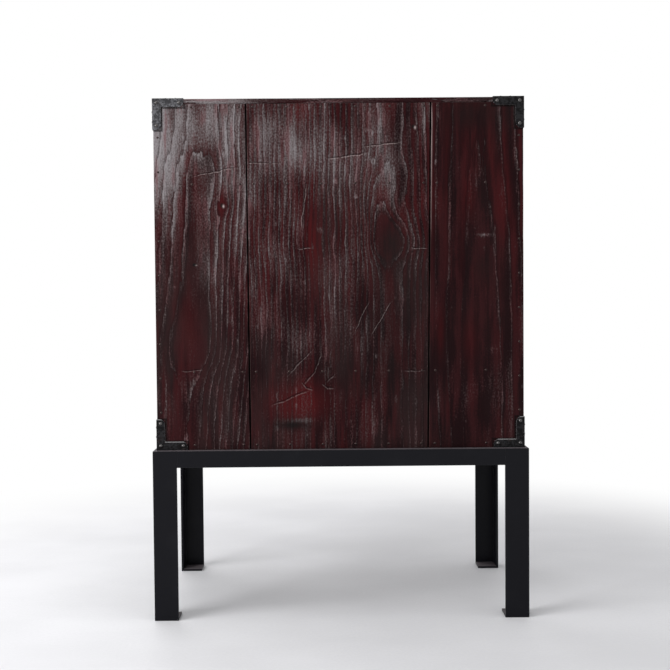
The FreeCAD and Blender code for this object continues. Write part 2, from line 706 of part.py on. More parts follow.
def lock_plate():
    """A rectangle with a square notch at each corner, and a slot for the key."""
    plate = new_body("lock_plate")
    side = dim.plate_width / 2
    neck = side - dim.plate_notch
    top = LOWER_FRONT_TOP - dim.plate_inset
    foot = top - dim.plate_height
    under_top = top - dim.plate_notch
    over_foot = foot + dim.plate_notch
    right_half = [(neck, foot), (neck, over_foot), (side, over_foot)]
    right_half += [(side, under_top), (neck, under_top), (neck, top)]
    left_half = [(-across, up) for across, up in reversed(right_half)]
    profile = sketch(plate, "XZ_Plane", -CHEST_FRONT)
    outline(profile, right_half + left_half)
    rectangle(profile, KEY_X, KEY_Z)
    pad(plate, profile, dim.sheet_thickness)
    node("lock_plate", plate)


def lock_case_and_bolt():
    half_case = dim.case_width / 2
    half_bolt = dim.bolt_width / 2
    play = dim.bolt_play
    blank = box("lock_case_blank", (-half_case, half_case), CASE_Y, CASE_Z)
    room = box("bolt_room", (-half_bolt - play, half_bolt + play), BOLT_ROOM_Y, (BOLT_FOOT, CASE_Z[1]))
    key_way = box("lock_case_key_way", KEY_X, (CASE_Y[0], BOLT_ROOM_Y[0]), KEY_Z)
    node("lock_case", cut("lock_case", blank, [room, key_way]))
    bolt_y = (BOLT_ROOM_Y[0] + play, BOLT_ROOM_Y[1] - play)
    node("lock_bolt", box("lock_bolt", (-half_bolt, half_bolt), bolt_y, (BOLT_FOOT + play, CASE_Z[1])))


# Corner fittings: an L on the face, folded round the side and, at the top, over the top board
FITTING_SIDE = CHEST_SIDE + dim.sheet_thickness
FITTING_TOP = CHEST_TOP + dim.sheet_thickness
FITTING_LEVELS = (("top", FITTING_TOP, 1), ("bottom", CHEST_FOOT, -1))
FLANGE_MIDDLE = CHEST_REAR - dim.fitting_width / 2
NAIL_HOLE = dim.shank_radius + dim.hole_play


def face_nails(tip, up):
    """Nails of the L on the face: one at the corner, one near the end of each arm."""
    near = dim.fitting_width / 2
    far = dim.fitting_arm - near
    places = ((near, near), (far, near), (near, far))
    return [(FITTING_SIDE - across, tip - along * up) for across, along in places]


def flange_nails(tip, up):
    """Nails of a folded flange, staggered from those of the face so that the shanks pass."""
    width = dim.fitting_width
    return [tip - along * up for along in (width + width / 2, dim.fitting_arm - width)]


def fitting_face(fitting, tip, up):
    """The L, with rounded inner corners at the ends of its arms."""
    arm_x = FITTING_SIDE - dim.fitting_arm
    arm_z = tip - dim.fitting_arm * up
    inner_x = FITTING_SIDE - dim.fitting_width
    inner_z = tip - dim.fitting_width * up
    face = sketch(fitting, "XZ_Plane", -CHEST_REAR)
    corners = [(FITTING_SIDE, tip), (arm_x, tip), (arm_x, inner_z)]
    corners += [(inner_x, inner_z), (inner_x, arm_z), (FITTING_SIDE, arm_z)]
    outline(face, corners)
    for across, along in face_nails(tip, up):
        ring(face, across, along, NAIL_HOLE)
    plate = pad(fitting, face, dim.sheet_thickness, backwards=True)
    doc.recompute()
    level = (CHEST_REAR + dim.sheet_thickness / 2).value
    ends = [Vector(x.value, level, z.value) for x, z in ((arm_x, inner_z), (inner_x, arm_z))]
    names = []
    for i, edge in enumerate(plate.Shape.Edges, start=1):
        if any(edge.CenterOfMass.distanceToPoint(end) < SAME_PLACE for end in ends):
            names.append(f"Edge{i}")
    rounding = fitting.newObject("PartDesign::Fillet", f"{fitting.Name}_rounding")
    rounding.Base = (plate, names)
    bind(rounding, "Radius", smaller(dim.fitting_round, dim.fitting_width - dim.sheet_thickness))


def fitting_flange(fitting, plane, level, across, up, holes):
    """A folded flange: a strip with nail holes, drawn on a face of the chest."""
    strip = sketch(fitting, plane, level)
    rectangle(strip, across, up)
    for hole in holes:
        ring(strip, *hole, NAIL_HOLE)
    pad(fitting, strip, dim.sheet_thickness)


def corner_fitting(name, tip, up):
    """The fitting of a right rear corner. Tip is the level of its outer corner, up is 1 at the top."""
    fitting = new_body(name)
    fitting_face(fitting, tip, up)
    strip = (CHEST_REAR - dim.fitting_width, CHEST_REAR)
    reach = (tip - dim.fitting_arm * up, tip)
    side_holes = [(FLANGE_MIDDLE, along) for along in flange_nails(tip, up)]
    fitting_flange(fitting, "YZ_Plane", CHEST_SIDE, strip, reach, side_holes)
    if up > 0:
        reach = (FITTING_SIDE - dim.fitting_arm, FITTING_SIDE)
        cap_holes = [(along, FLANGE_MIDDLE) for along in flange_nails(FITTING_SIDE, 1)]
        fitting_flange(fitting, "XY_Plane", CHEST_TOP, reach, strip, cap_holes)
    return fitting


def corner_fittings():
    for level, tip, up in FITTING_LEVELS:
        name = f"fitting_{level}"
        for corner, piece in at_four_corners(name, corner_fitting(name, tip, up)).items():
            node(f"{name}_{corner}", piece)


# Nails: domed studs in the fittings, and small brads along the edges of the back boards
def nail(name, head_radius, head_height, length):
    """A nail along +Z with a domed head whose underside is at the origin."""
    body = new_body(name)
    profile = sketch(body, "XZ_Plane")
    dome = (head_radius * head_radius + head_height * head_height) / (head_height * 2)
    dome_centre = head_height - dome
    shank = dim.shank_radius
    corners = [(0, head_height), (0, -length), (shank, shank - length), (shank, 0), (head_radius, 0)]
    for start, end in zip(corners, corners[1:]):
        profile.addGeometry(Part.LineSegment(spot(*start), spot(*end)), False)
    circle = Part.Circle(spot(0, dome_centre), UPWARDS, dome.value)
    lean = math.acos(head_radius.value / dome.value)
    arc = profile.addGeometry(Part.ArcOfCircle(circle, lean, math.pi / 2), False)
    for i in range(arc):
        pin_point(profile, i, 1, *corners[i])
        profile.addConstraint(Sketcher.Constraint("Coincident", i, 2, i + 1, 1))
    profile.addConstraint(Sketcher.Constraint("Coincident", arc, 2, 0, 1))
    rule(profile, head_radius, "DistanceX", -1, 1, arc, 1)
    rule(profile, 0, "DistanceY", -1, 1, arc, 1)
    rule(profile, dome, "Radius", arc)
    revolve(body, profile)
    doc.recompute()
    return body


def driven(label, pattern, places):
    """Copies of a nail, each at a point with its head facing a direction."""
    copies = []
    for point, direction in places:
        copy = pattern.Shape.copy()
        copy.Placement = FreeCAD.Placement(point, FreeCAD.Rotation(UPWARDS, direction))
        copies.append(copy)
    piece = node(label, doc.addObject("Part::Feature", label))
    piece.Shape = Part.makeCompound(copies)


def on_four_edges(x, y, z, direction):
    """A place on the right rear corner, repeated on the other three upright edges."""
    for across in (1, -1):
        for along in (1, -1):
            point = Vector(x.value * across, y.value * along, z.value)
            yield point, Vector(direction.x * across, direction.y * along, direction.z)


def stud_places():
    for _, tip, up in FITTING_LEVELS:
        for across, along in face_nails(tip, up):
            yield from on_four_edges(across, CHEST_REAR + dim.sheet_thickness, along, BACKWARDS)
        for along in flange_nails(tip, up):
            yield from on_four_edges(FITTING_SIDE, FLANGE_MIDDLE, along, SIDEWAYS)
    for across in flange_nails(FITTING_SIDE, 1):
        yield from on_four_edges(across, FLANGE_MIDDLE, FITTING_TOP, UPWARDS)


def evenly(start, end):
    """Numbers from start to end, in steps near the nail spacing."""
    steps = max(1, round((end - start) / dim.brad_spacing.value))
    return [start + (end - start) * i / steps for i in range(steps + 1)]


def joint_at(joint, level):
    """X of a back joint, given as (foot, top), at a level."""
    share = (level - CHEST_FOOT) / (BACK_TOP - CHEST_FOOT)
    return (joint[0] + (joint[1] - joint[0]) * share.value).value


def brad_places():
    """Rows of nails into the level boards behind, and columns into the side boards."""
    margin = dim.brad_margin.value
    clear = dim.fitting_arm.value
    side = CHEST_SIDE.value
    rear = CHEST_REAR.value
    shelf_rows = [(shelf_z[0] + shelf_z[1]) / 2 for shelf_z in (LOWER_SHELF, UPPER_SHELF)]
    for level in [CHEST_FOOT + dim.bottom_thickness / 2, (BACK_TOP + INNER_TOP) / 2] + shelf_rows:
        stops = (clear - side, joint_at(LEFT_JOINT, level), joint_at(RIGHT_JOINT, level), side - clear)
        for start, stop in zip(stops, stops[1:]):
            for x in evenly(start + margin, stop - margin):
                yield Vector(x, rear, level.value), BACKWARDS
    column = (CHEST_SIDE - dim.side_thickness / 2).value
    for z in evenly(CHEST_FOOT.value + clear + margin, CHEST_TOP.value - clear - margin):
        for x in (-column, column):
            yield Vector(x, rear, z), BACKWARDS


def nails():
    length = dim.sheet_thickness + dim.side_thickness - dim.nail_cover
    stud = nail("stud", dim.stud_radius, dim.stud_height, length)
    brad = nail("brad", dim.brad_radius, dim.brad_height, length + dim.nail_cover)
    driven("fitting_nails", stud, stud_places())
    driven("back_board_nails", brad, brad_places())


def check_and_export():
    doc.recompute()
    failed = [thing.Label for thing in doc.Objects if {"Invalid", "Error"} & set(thing.State)]
    for label, piece in nodes.items():
        if piece.Shape.isNull() or not piece.Shape.isValid():
            failed.append(label)
    if failed:
        raise SystemExit(f"these pieces failed: {failed}")
    os.makedirs("parts", exist_ok=True)
    for label, piece in nodes.items():
        piece.Shape.exportStep(f"parts/{label}.step")
    solids = sum(len(piece.Shape.Solids) for piece in nodes.values())
    print(f"{len(nodes)} nodes and {solids} solids written")


stand_legs()
stand_rails()
carcass()
back_boards()
sliding_doors()
upper_drawers()
lower_drawer()
lock_plate()
lock_case_and_bolt()
corner_fittings()
nails()
check_and_export()
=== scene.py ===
# %% [markdown]
# A tansu is a chest of softwood boards, stained and lacquered dark red and shod with iron. This one
# stands on a modern stand of black angle steel. The solids, their places and their motion are
# finished already, so this lesson gives them their looks: worn lacquer over raised grain, forged
# iron, painted steel and the bare wood of the drawers. The whole object is loaded first. Nothing
# that follows may make it larger.

# %% Load the solids
import json
import math
from types import SimpleNamespace

import bmesh
import bpy
from mathutils import Matrix, Vector, noise


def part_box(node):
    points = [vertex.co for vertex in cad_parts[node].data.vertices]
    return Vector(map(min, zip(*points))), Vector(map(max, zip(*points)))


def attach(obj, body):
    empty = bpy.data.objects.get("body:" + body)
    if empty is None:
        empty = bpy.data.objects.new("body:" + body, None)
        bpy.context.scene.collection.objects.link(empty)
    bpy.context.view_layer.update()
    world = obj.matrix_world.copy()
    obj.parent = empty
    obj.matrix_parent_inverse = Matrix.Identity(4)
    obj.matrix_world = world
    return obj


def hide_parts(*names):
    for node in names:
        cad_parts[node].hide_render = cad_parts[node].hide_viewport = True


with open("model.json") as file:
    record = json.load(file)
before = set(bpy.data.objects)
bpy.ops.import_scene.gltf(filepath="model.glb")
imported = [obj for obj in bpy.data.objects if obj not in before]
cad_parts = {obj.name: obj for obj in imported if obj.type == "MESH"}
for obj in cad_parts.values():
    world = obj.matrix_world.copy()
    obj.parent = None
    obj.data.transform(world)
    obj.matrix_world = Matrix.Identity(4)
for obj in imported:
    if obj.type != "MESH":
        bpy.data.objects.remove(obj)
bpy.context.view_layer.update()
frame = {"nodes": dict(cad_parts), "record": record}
nodes = frame["nodes"]
body_of = {}
for body, members in frame["record"]["behaviour"]["bodies"].items():
    for member in members:
        body_of[member] = body

# %% [markdown]
# The chest is seen square from the back, from a little below its middle height. Place, turn and
# focal length were worked out from straight edges of the object whose sizes are known: the feet,
# the rails and the corners of the back. A long lens, a little over two metres behind the chest,
# keeps its sides hidden.

# %% Camera
CAMERA_PLACE = (0.0244, 2.421, 0.671)
CAMERA_TURN = (88.02, 0.467, 179.623)
FOCAL_LENGTH = 56.88
SENSOR_WIDTH = 36

scene = bpy.context.scene
scene.view_settings.view_transform = "Standard"
camera = bpy.data.objects.new("camera", bpy.data.cameras.new("camera"))
scene.collection.objects.link(camera)
camera.location = CAMERA_PLACE
camera.rotation_euler = [math.radians(angle) for angle in CAMERA_TURN]
camera.data.lens = FOCAL_LENGTH
camera.data.sensor_width = SENSOR_WIDTH
scene.camera = camera
print("camera at", tuple(camera.location), "lens", camera.data.lens)

# %% [markdown]
# Every finish here is a small sum of noises and distances, so the arithmetic should read like
# arithmetic. A Field wraps one socket of a node tree, and plus, minus, times and the rest add Math
# nodes. A NodeTree makes any other node from its type, its settings and its sockets.

# %% Arithmetic on sockets
class Field:
    """A value that varies over a surface."""

    def __init__(self, maker, socket):
        self.maker = maker
        self.socket = socket

    def __add__(self, other):
        return self.maker.math("ADD", self, other)

    def __sub__(self, other):
        return self.maker.math("SUBTRACT", self, other)

    def __rsub__(self, other):
        return self.maker.math("SUBTRACT", other, self)

    def __mul__(self, other):
        return self.maker.math("MULTIPLY", self, other)

    def __truediv__(self, other):
        return self.maker.math("DIVIDE", self, other)

    def __pow__(self, other):
        return self.maker.math("POWER", self, other)

    __radd__ = __add__
    __rmul__ = __mul__


class NodeTree:
    """The nodes of a material or of the room, as they are being made."""

    def __init__(self, tree):
        self.tree = tree

    def feed(self, socket, value):
        if isinstance(value, Field):
            self.tree.links.new(value.socket, socket)
        else:
            socket.default_value = value

    def node(self, kind, settings, sockets, output=0):
        """A new node: its settings first, then the values or links of its sockets."""
        made = self.tree.nodes.new(kind)
        for name, value in settings.items():
            setattr(made, name, value)
        for name, value in sockets.items():
            self.feed(made.inputs[name], value)
        return Field(self, made.outputs[output])

    def math(self, operation, *values):
        return self.node("ShaderNodeMath", {"operation": operation}, dict(enumerate(values)))

    def first_seen(self):
        """1 for what is seen directly, in a mirror or through glass, 0 for the light it gives."""
        seen = 0
        for kind in ("Is Camera Ray", "Is Transmission Ray", "Is Glossy Ray"):
            seen = self.math("MAXIMUM", seen, self.node("ShaderNodeLightPath", {}, {}, kind))
        return seen


# %% [markdown]
# A Finish is one material around a Principled shader. It knows the few patterns that all the
# finishes share: a smooth step, a mix of two colours, a noise, the worn edges and a relief. All of
# them read Object coordinates, which are metres here, so a pattern keeps its size on every piece.

# %% A finish and its patterns
class Finish(NodeTree):
    """A material that is being made, around one Principled shader."""

    def __init__(self, name, fixed):
        self.material = bpy.data.materials.new(name)
        self.material.use_nodes = True
        super().__init__(self.material.node_tree)
        self.shader = self.tree.nodes["Principled BSDF"]
        self.set(fixed)
        self.place = self.node("ShaderNodeTexCoord", {}, {}, "Object")
        self.axes = {}
        for axis in "XYZ":
            self.axes[axis] = self.node("ShaderNodeSeparateXYZ", {}, {0: self.place}, axis)

    def set(self, sockets):
        for name, value in sockets.items():
            self.feed(self.shader.inputs[name], value)

    def rise(self, value, start, end):
        """A smooth step from 0 at start to 1 at end. It falls where end is below start."""
        sockets = {"Value": value, "From Min": start, "From Max": end}
        return self.node("ShaderNodeMapRange", {"interpolation_type": "SMOOTHSTEP"}, sockets)

    def mix(self, factor, one, other):
        """The first colour where the factor is 0, the second where it is 1."""
        return self.node("ShaderNodeMix", {"data_type": "RGBA"}, {0: factor, 6: one, 7: other}, 2)

    def noise(self, waves, detail=2, shift=0):
        """Noise with that many waves per metre along X, Y and Z."""
        spread = {"Vector": self.place, "Scale": waves, "Location": (shift, shift, shift)}
        spot = self.node("ShaderNodeMapping", {}, spread)
        return self.node("ShaderNodeTexNoise", {}, {"Vector": spot, "Scale": 1, "Detail": detail})

    def even_noise(self, waves, detail=2, shift=0):
        """Noise with the same number of waves per metre all ways."""
        return self.noise((waves, waves, waves), detail, shift)

    def edges(self):
        """1 on the rounded edges of a piece made here, 0 elsewhere."""
        return self.node("ShaderNodeAttribute", {"attribute_name": "edge"}, {}, "Fac")

    def relief(self, height, depth):
        """Raises the surface by a height of 0 to 1, times a depth in metres."""
        self.set({"Normal": self.node("ShaderNodeBump", {}, {"Height": height, "Distance": depth})})


print("patterns of a finish", [name for name in vars(Finish) if not name.startswith("_")])

# %% [markdown]
# Colours are easiest to judge on a screen, where a level of 128 looks half as bright as 255 but
# gives only about a fifth of its light. A shader reckons in light, so each level is converted.

# %% Colours
def paint(red, green, blue):
    """A colour as it looks on a screen, 0 to 255, as the light values that a shader takes."""
    light = []
    for level in (red, green, blue):
        share = level / 255
        light.append(share / 12.92 if share <= 0.04045 else ((share + 0.055) / 1.055) ** 2.4)
    return (*light, 1)


print("middle grey as light", paint(128, 128, 128))

# %% [markdown]
# The boards are flat-sawn from a wide-ringed softwood. How a board looks depends on where the saw
# passed the heart of the trunk, so the place of the heart is what describes it, together with the
# spacing of its rings and the knots and bends that push them aside. Whatever else has happened at
# one place of a board, a stain or a pale spot, is a mark that fades out round that place.

# %% How a board was cut
def mark(across, along, width, length, strength):
    """A place on a board that fades out over a width and a length, and how strong it is."""
    return SimpleNamespace(place=(across, along, width, length), strength=strength)


def grain_of(axes, heart, **changes):
    """How a board was cut. Axes and heart are given across the board, through it and along it."""
    usual = {
        "above": (),
        "below": (),
        "lean": 0.0,
        "skew": 0.0,
        "spacing": 0.012,
        "band": 0.4,
        "drift": 0.02,
        "ripple": 0.004,
        "knots": (),
        "bends": (),
        "pith": 0.0,
        "seed": 5,
    }
    return SimpleNamespace(axes=axes, heart=heart, **{**usual, **changes})


def along_grain(grain, across, along):
    """Waves per metre in X, Y and Z for a pattern drawn out along the grain."""
    return tuple(along if axis == grain.axes[2] else across for axis in "XYZ")


def blot(finish, grain, across, along, width, length):
    """1 at a point of the board, fading to 0 over a width and a length."""
    side = (finish.axes[grain.axes[0]] - across) / width
    climb = (finish.axes[grain.axes[2]] - along) / length
    return finish.math("EXPONENT", (side * side + climb * climb) * -1)


def summed(finish, grain, marks):
    """The strengths of a list of marks, added up over the board."""
    total = 0
    for one in marks:
        total = blot(finish, grain, *one.place) * one.strength + total
    return total


print("a usual board", grain_of("XYZ", (0, 0, 0)))

# %% [markdown]
# Where a saw passes the heart at a small angle, the rings come out on the face as nested arches, and
# far from the heart as nearly straight lines. Drawing the arches one by one would be slow and would
# not fit the edges of a board. Instead the distance of a point from the heart is worked out in
# space, and every ring is a step of that distance, so face, edge and end grain agree. The heart
# dives away from the face at both ends of its arches, which closes them.

# %% Growth rings
DRIFT_WAVES = (9, 1.3)
RIPPLE_WAVES = (40, 5)
WOBBLE_WAVES = (220, 26)
WOBBLE_SHARE = 0.7


def from_heart(finish, grain, climb):
    """Distance across the board from the heart, pushed aside by drift, knots and bends."""
    across = finish.axes[grain.axes[0]]
    drift = finish.noise(along_grain(grain, *DRIFT_WAVES), 2, grain.heart[0]) - 0.5
    side = across - grain.heart[0] - climb * grain.lean + drift * grain.drift
    for knot in grain.knots:
        side = side - blot(finish, grain, *knot.place) * (across - knot.place[0]) * knot.strength
    for bend in grain.bends:
        side = side - blot(finish, grain, *bend.place) * climb * bend.strength
    return side


def dive(finish, grain, climb):
    """Square of the depth to which the heart dives, above and below the middle of its arches."""
    depth = 0
    for half, dives in (("MAXIMUM", grain.above), ("MINIMUM", grain.below)):
        for swing, start, reach in dives:
            run = finish.math(half, climb - start, 0) / reach
            depth = (1 - finish.math("EXPONENT", run * run * -1)) * swing**2 + depth
    return depth


def ring_phase(finish, grain):
    """Place in a growth ring, 0 at its soft start and 1 at its hard end, and the ring's strength."""
    climb = finish.axes[grain.axes[2]] - grain.heart[2]
    deep = finish.axes[grain.axes[1]] - grain.heart[1]
    side = from_heart(finish, grain, climb)
    ripple = finish.noise(along_grain(grain, *RIPPLE_WAVES), 2, grain.heart[0]) - 0.5
    wobble = finish.noise(along_grain(grain, *WOBBLE_WAVES), 2) - 0.5
    spread = side * side + deep * deep + dive(finish, grain, climb)
    radius = spread**0.5 - side * grain.skew + (ripple + wobble * WOBBLE_SHARE) * grain.ripple
    count = finish.math("MAXIMUM", radius, grain.pith) / grain.spacing
    ring = finish.math("FLOOR", count) + grain.seed
    strength = finish.node("ShaderNodeTexWhiteNoise", {"noise_dimensions": "1D"}, {"W": ring})
    return finish.math("FRACT", count), strength


print("waves per metre across and along", DRIFT_WAVES, RIPPLE_WAVES, WOBBLE_WAVES)

# %% [markdown]
# The lacquer is a dark wine red that has gone nearly black where it is thick. Handling and weather
# have polished the hard rings through to grey wood, most of all at the top of the back, and left the
# soft wood between them red. At the upper left, the grey and the lighter red also stand for painted
# sheen of the window light. So a surface is rubbed by an amount that fades from the top of a board
# to its foot, hard rings and fibres add to it or take from it, and what passes a limit is grey. The
# patterns of the wood come first, because rubbing, colour and relief all share them.

# %% Wear of a board
def wear_of(foot, head, **changes):
    """How rubbed a board is at its foot and at its head, what else has happened to it, and the
    painted light on it: sheen, glints and shade in its joints.
    """
    usual = {
        "reach": (0.5, 1.0),
        "lines": 1.0,
        "red": 0.5,
        "dull": 0.6,
        "edges": 0.6,
        "haze": (),
        "calm": (),
        "red_places": (),
        "stains": (),
        "scratches": (),
        "chips": (),
        "bare_edges": (),
        "seam_depth": None,
        "inside": None,
    }
    return SimpleNamespace(foot=foot, head=head, **{**usual, **changes})


# Waves per metre across and along the grain, detail and shift of each pattern.
PATTERNS = {
    "fine": (340, 230, 2, 0),
    "fibre": (250, 12, 3, 5),
    "streak": (60, 6, 3, 3),
    "cloud": (34, 9, 3, 19),
    "patch": (12, 5, 3, 7),
    "kept": (45, 4, 2, 11),
    "scuff": (48, 30, 1, 17),
    "dull": (11, 4, 3, 13),
    "tinge": (110, 14, 3, 29),
}
# Where in a ring or in a pattern something starts to show, and where it is full.
HARD_END = (1, 0.95)
SOFT_LIMITS = (0.75, 0.15)
KEPT_LIMITS = (0.3, 0.55)
WEAKEST_RING = 0.6
RING_SPREAD = 0.6


def wood_patterns(finish, grain, wear):
    """The noises of a board, its rings, and how high and how lined each point of it is."""
    made = {}
    for name, (across, along, detail, shift) in PATTERNS.items():
        made[name] = finish.noise(along_grain(grain, across, along), detail, shift)
    wood = SimpleNamespace(**made)
    wood.phase, wood.strength = ring_phase(finish, grain)
    hard = finish.rise(wood.phase, 1 - grain.band, 1) * finish.rise(wood.phase, *HARD_END)
    hard = hard * (WEAKEST_RING + wood.strength * RING_SPREAD)
    wood.hard = hard * finish.rise(wood.kept, *KEPT_LIMITS)
    wood.soft = finish.rise(wood.phase, *SOFT_LIMITS)
    wood.height = finish.rise(finish.axes[grain.axes[2]], *wear.reach)
    wood.lines = wear.lines - summed(finish, grain, wear.calm)
    return wood


print("patterns of a board", list(PATTERNS))

# %% [markdown]
# Rubbing is a sum. It grows from foot to head, hard rings are rubbed more and soft ones less, small
# scuffs add to it, and most of the patterns swing it up and down about their middle.

# %% Rubbing
HARD_RUB = 0.32
HARD_RUB_AT_HEAD = 0.12
SOFT_RUB = 0.12
SCUFF_RUB = 0.35
SCUFF_LIMITS = (0.7, 0.8)
RUB_SWINGS = {"fibre": 0.55, "fine": 0.95, "patch": 0.6, "cloud": 0.8}


def swings(wood, weights):
    """Patterns that swing about their middle, each times its weight, added up."""
    total = 0
    for name, weight in weights.items():
        total = (getattr(wood, name) - 0.5) * weight + total
    return total


def rubbing(finish, grain, wear, wood):
    """How far the lacquer is rubbed: about 0 where it is whole, above 1 where the wood is bare."""
    # Rubbed places are added. The strong ones at the upper left of the back also stand for painted
    # sheen of the window light.
    rub = wear.foot + wood.height * (wear.head - wear.foot) + summed(finish, grain, wear.haze)
    ring = wood.hard * (HARD_RUB + wood.height * HARD_RUB_AT_HEAD) - wood.soft * SOFT_RUB
    scuffs = finish.rise(wood.scuff, *SCUFF_LIMITS) * SCUFF_RUB
    return rub + ring * wood.lines + scuffs + swings(wood, RUB_SWINGS)


print("patterns that swing the rubbing", RUB_SWINGS)

# %% [markdown]
# The colour is laid on as the real surface came about: black and wine lacquer, dull and red places
# in it, then half worn and bare grey wood with a little red left in its pores, and dark stains. A
# painted picture of the board would do this too, but only for one face and one size.

# %% Colours of the lacquer
LACQUER_BLACK = paint(27, 12, 14)
LACQUER_WINE = paint(46, 20, 22)
LACQUER_DULL = paint(43, 32, 32)
LACQUER_RED = paint(72, 19, 21)
HALF_WORN = paint(81, 69, 69)
WORN_GREY = paint(139, 134, 136)
WORN_RED = paint(104, 43, 48)
STAIN = paint(20, 19, 19)
DEPTH_SWINGS = {"cloud": 0.8, "fibre": 0.35, "fine": 0.3, "phase": -0.2}
RED_SWINGS = {"patch": 0.8}
SOFT_RED_LIT_AT_HEAD = 1.6
DARK_LIMITS = (0.66, 0.38)
DULL_LIMITS = (0.46, 0.66)
RED_LIMITS = (0.5, 0.75)
HALF_WORN_LIMITS = (0.2, 0.95)
GREY_LIMITS = (0.5, 1.4)
TINGE_LIMITS = (0.47, 0.68)
TINGE_SHARE = 0.42


def whole_lacquer(finish, grain, wear, wood):
    """The lacquer before it was rubbed."""
    depth = wood.streak + swings(wood, DEPTH_SWINGS)
    colour = finish.mix(finish.rise(depth, *DARK_LIMITS), LACQUER_WINE, LACQUER_BLACK)
    colour = finish.mix(finish.rise(wood.dull, *DULL_LIMITS) * wear.dull, colour, LACQUER_DULL)
    streaks = finish.rise(wood.streak + swings(wood, RED_SWINGS), *RED_LIMITS)
    # Soft wood turns redder and lighter toward the head: red lacquer left there, and painted light
    # of the window at the upper left.
    redness = (streaks + wood.soft * wood.height * SOFT_RED_LIT_AT_HEAD) * wear.red
    redness = redness + summed(finish, grain, wear.red_places)
    return finish.mix(redness, colour, LACQUER_RED)


def rubbed_lacquer(finish, grain, wear, wood, rub):
    """The lacquer with its worn and stained places, and how grey each point is."""
    colour = whole_lacquer(finish, grain, wear, wood)
    half_worn = finish.rise(rub, *HALF_WORN_LIMITS)
    grey = finish.rise(rub, *GREY_LIMITS)
    colour = finish.mix(half_worn, colour, HALF_WORN)
    colour = finish.mix(grey, colour, WORN_GREY)
    tinge = finish.rise(wood.tinge, *TINGE_LIMITS) * half_worn * TINGE_SHARE
    colour = finish.mix(tinge, colour, WORN_RED)
    colour = finish.mix(summed(finish, grain, wear.stains), colour, STAIN)
    return colour, grey


print("lacquer from", LACQUER_BLACK, "to", WORN_GREY)

# %% [markdown]
# Scratches and furrows come on top. A scratch on old lacquer has a pale cut with a painted shadow
# along one side, and the fibres it crosses break the cut up. It is drawn as the distance from a line
# between two points of the board, shaken a little by noise. The soft start of each ring lies in a
# groove, which is darkened with painted shade.

# %% Scratches and furrows
# The pale of the cuts, and of the painted glints.
PALE_CUT_AND_GLINT = paint(176, 160, 158)
# Painted shade for the furrows and for the shadow beside each scratch.
FURROW_SHADE = paint(24, 11, 13)
SHAKE_WAVES = 36
SHAKE_DEPTH = 0.01
CUT_WIDTH = (0.0012, 0.0003)
# Width, shift and share of the painted shadow beside a scratch.
SHADOW_WIDTH = (0.0016, 0.0004)
SHADOW_SHIFT = 0.002
SHADOW_SHARE = 0.6
FIBRE_BREAKS = (0.72, 1.12)
PALE_AT_FOOT = 0.18
PALE_TO_HEAD = 0.3
FURROW_START = (0.2, 0.03)
FURROW_RINGS = (0.1, 0.6)
FURROW_AT_FOOT = 0.2
FURROW_TO_HEAD = 0.4


def scratch(finish, grain, shake, start, end, width=1):
    """A rough scratch between two points of the board: its pale cut and the painted shadow along one
    side.
    """
    half = (Vector(end) - Vector(start)) / 2
    middle = Vector(start) + half
    step = half.normalized()
    side = finish.axes[grain.axes[0]] - middle.x
    climb = finish.axes[grain.axes[2]] - middle.y
    off = (side * step.y - climb * step.x + shake) / width
    beyond = finish.math("ABSOLUTE", side * step.x + climb * step.y)
    span = finish.rise(beyond, half.length, half.length * 0.5)
    cut = finish.rise(finish.math("ABSOLUTE", off), *CUT_WIDTH) * span
    # The painted shadow, a little to one side of the cut.
    shadow_side = finish.rise(finish.math("ABSOLUTE", off - SHADOW_SHIFT), *SHADOW_WIDTH) * span
    return cut, shadow_side


def scratches(finish, grain, wear):
    """The cuts and the painted shadows beside all the scratches of a board."""
    shake = (finish.even_noise(SHAKE_WAVES, 2, 23) - 0.5) * SHAKE_DEPTH
    cuts = 0
    scratch_shadows = 0
    for ends in wear.scratches:
        cut, shadow_side = scratch(finish, grain, shake, *ends)
        cuts = cut + cuts
        scratch_shadows = shadow_side + scratch_shadows
    return cuts, scratch_shadows


def marked_lacquer(finish, grain, wear, wood, colour):
    """Adds the painted shade of furrows, scratches with their painted shadows, and painted glints to
    a colour, and says how deep the furrows and scratches are.
    """
    # Painted shade in the groove at the soft start of each ring.
    furrow_shade = finish.rise(wood.phase, *FURROW_START) * finish.rise(wood.strength, *FURROW_RINGS)
    furrow_shade = furrow_shade * (FURROW_AT_FOOT + wood.height * FURROW_TO_HEAD) * wood.lines
    cuts, scratch_shadows = scratches(finish, grain, wear)
    pale = finish.rise(wood.fine + wood.fibre, *FIBRE_BREAKS)
    pale = pale * (PALE_AT_FOOT + wood.height * PALE_TO_HEAD)
    colour = finish.mix(furrow_shade, colour, FURROW_SHADE)
    # Painted shadows beside the scratches.
    colour = finish.mix(scratch_shadows * SHADOW_SHARE, colour, FURROW_SHADE)
    colour = finish.mix(cuts * pale, colour, PALE_CUT_AND_GLINT)
    # Painted highlights: small pale glints at listed places.
    colour = finish.mix(summed(finish, grain, wear.chips), colour, PALE_CUT_AND_GLINT)
    return colour, furrow_shade + (cuts + scratch_shadows)


print("half the width of a scratch, in metres", CUT_WIDTH[0])

# %% [markdown]
# Edges are rubbed to bare wood. The open joints, and the wood along the inner edges of the iron, are
# darkened with painted shade. The inside of the chest was never lacquered. These depend on where a
# point of the chest lies, so they are distances in space: to the corner fittings, to the joints, and
# to the walls of the inside.

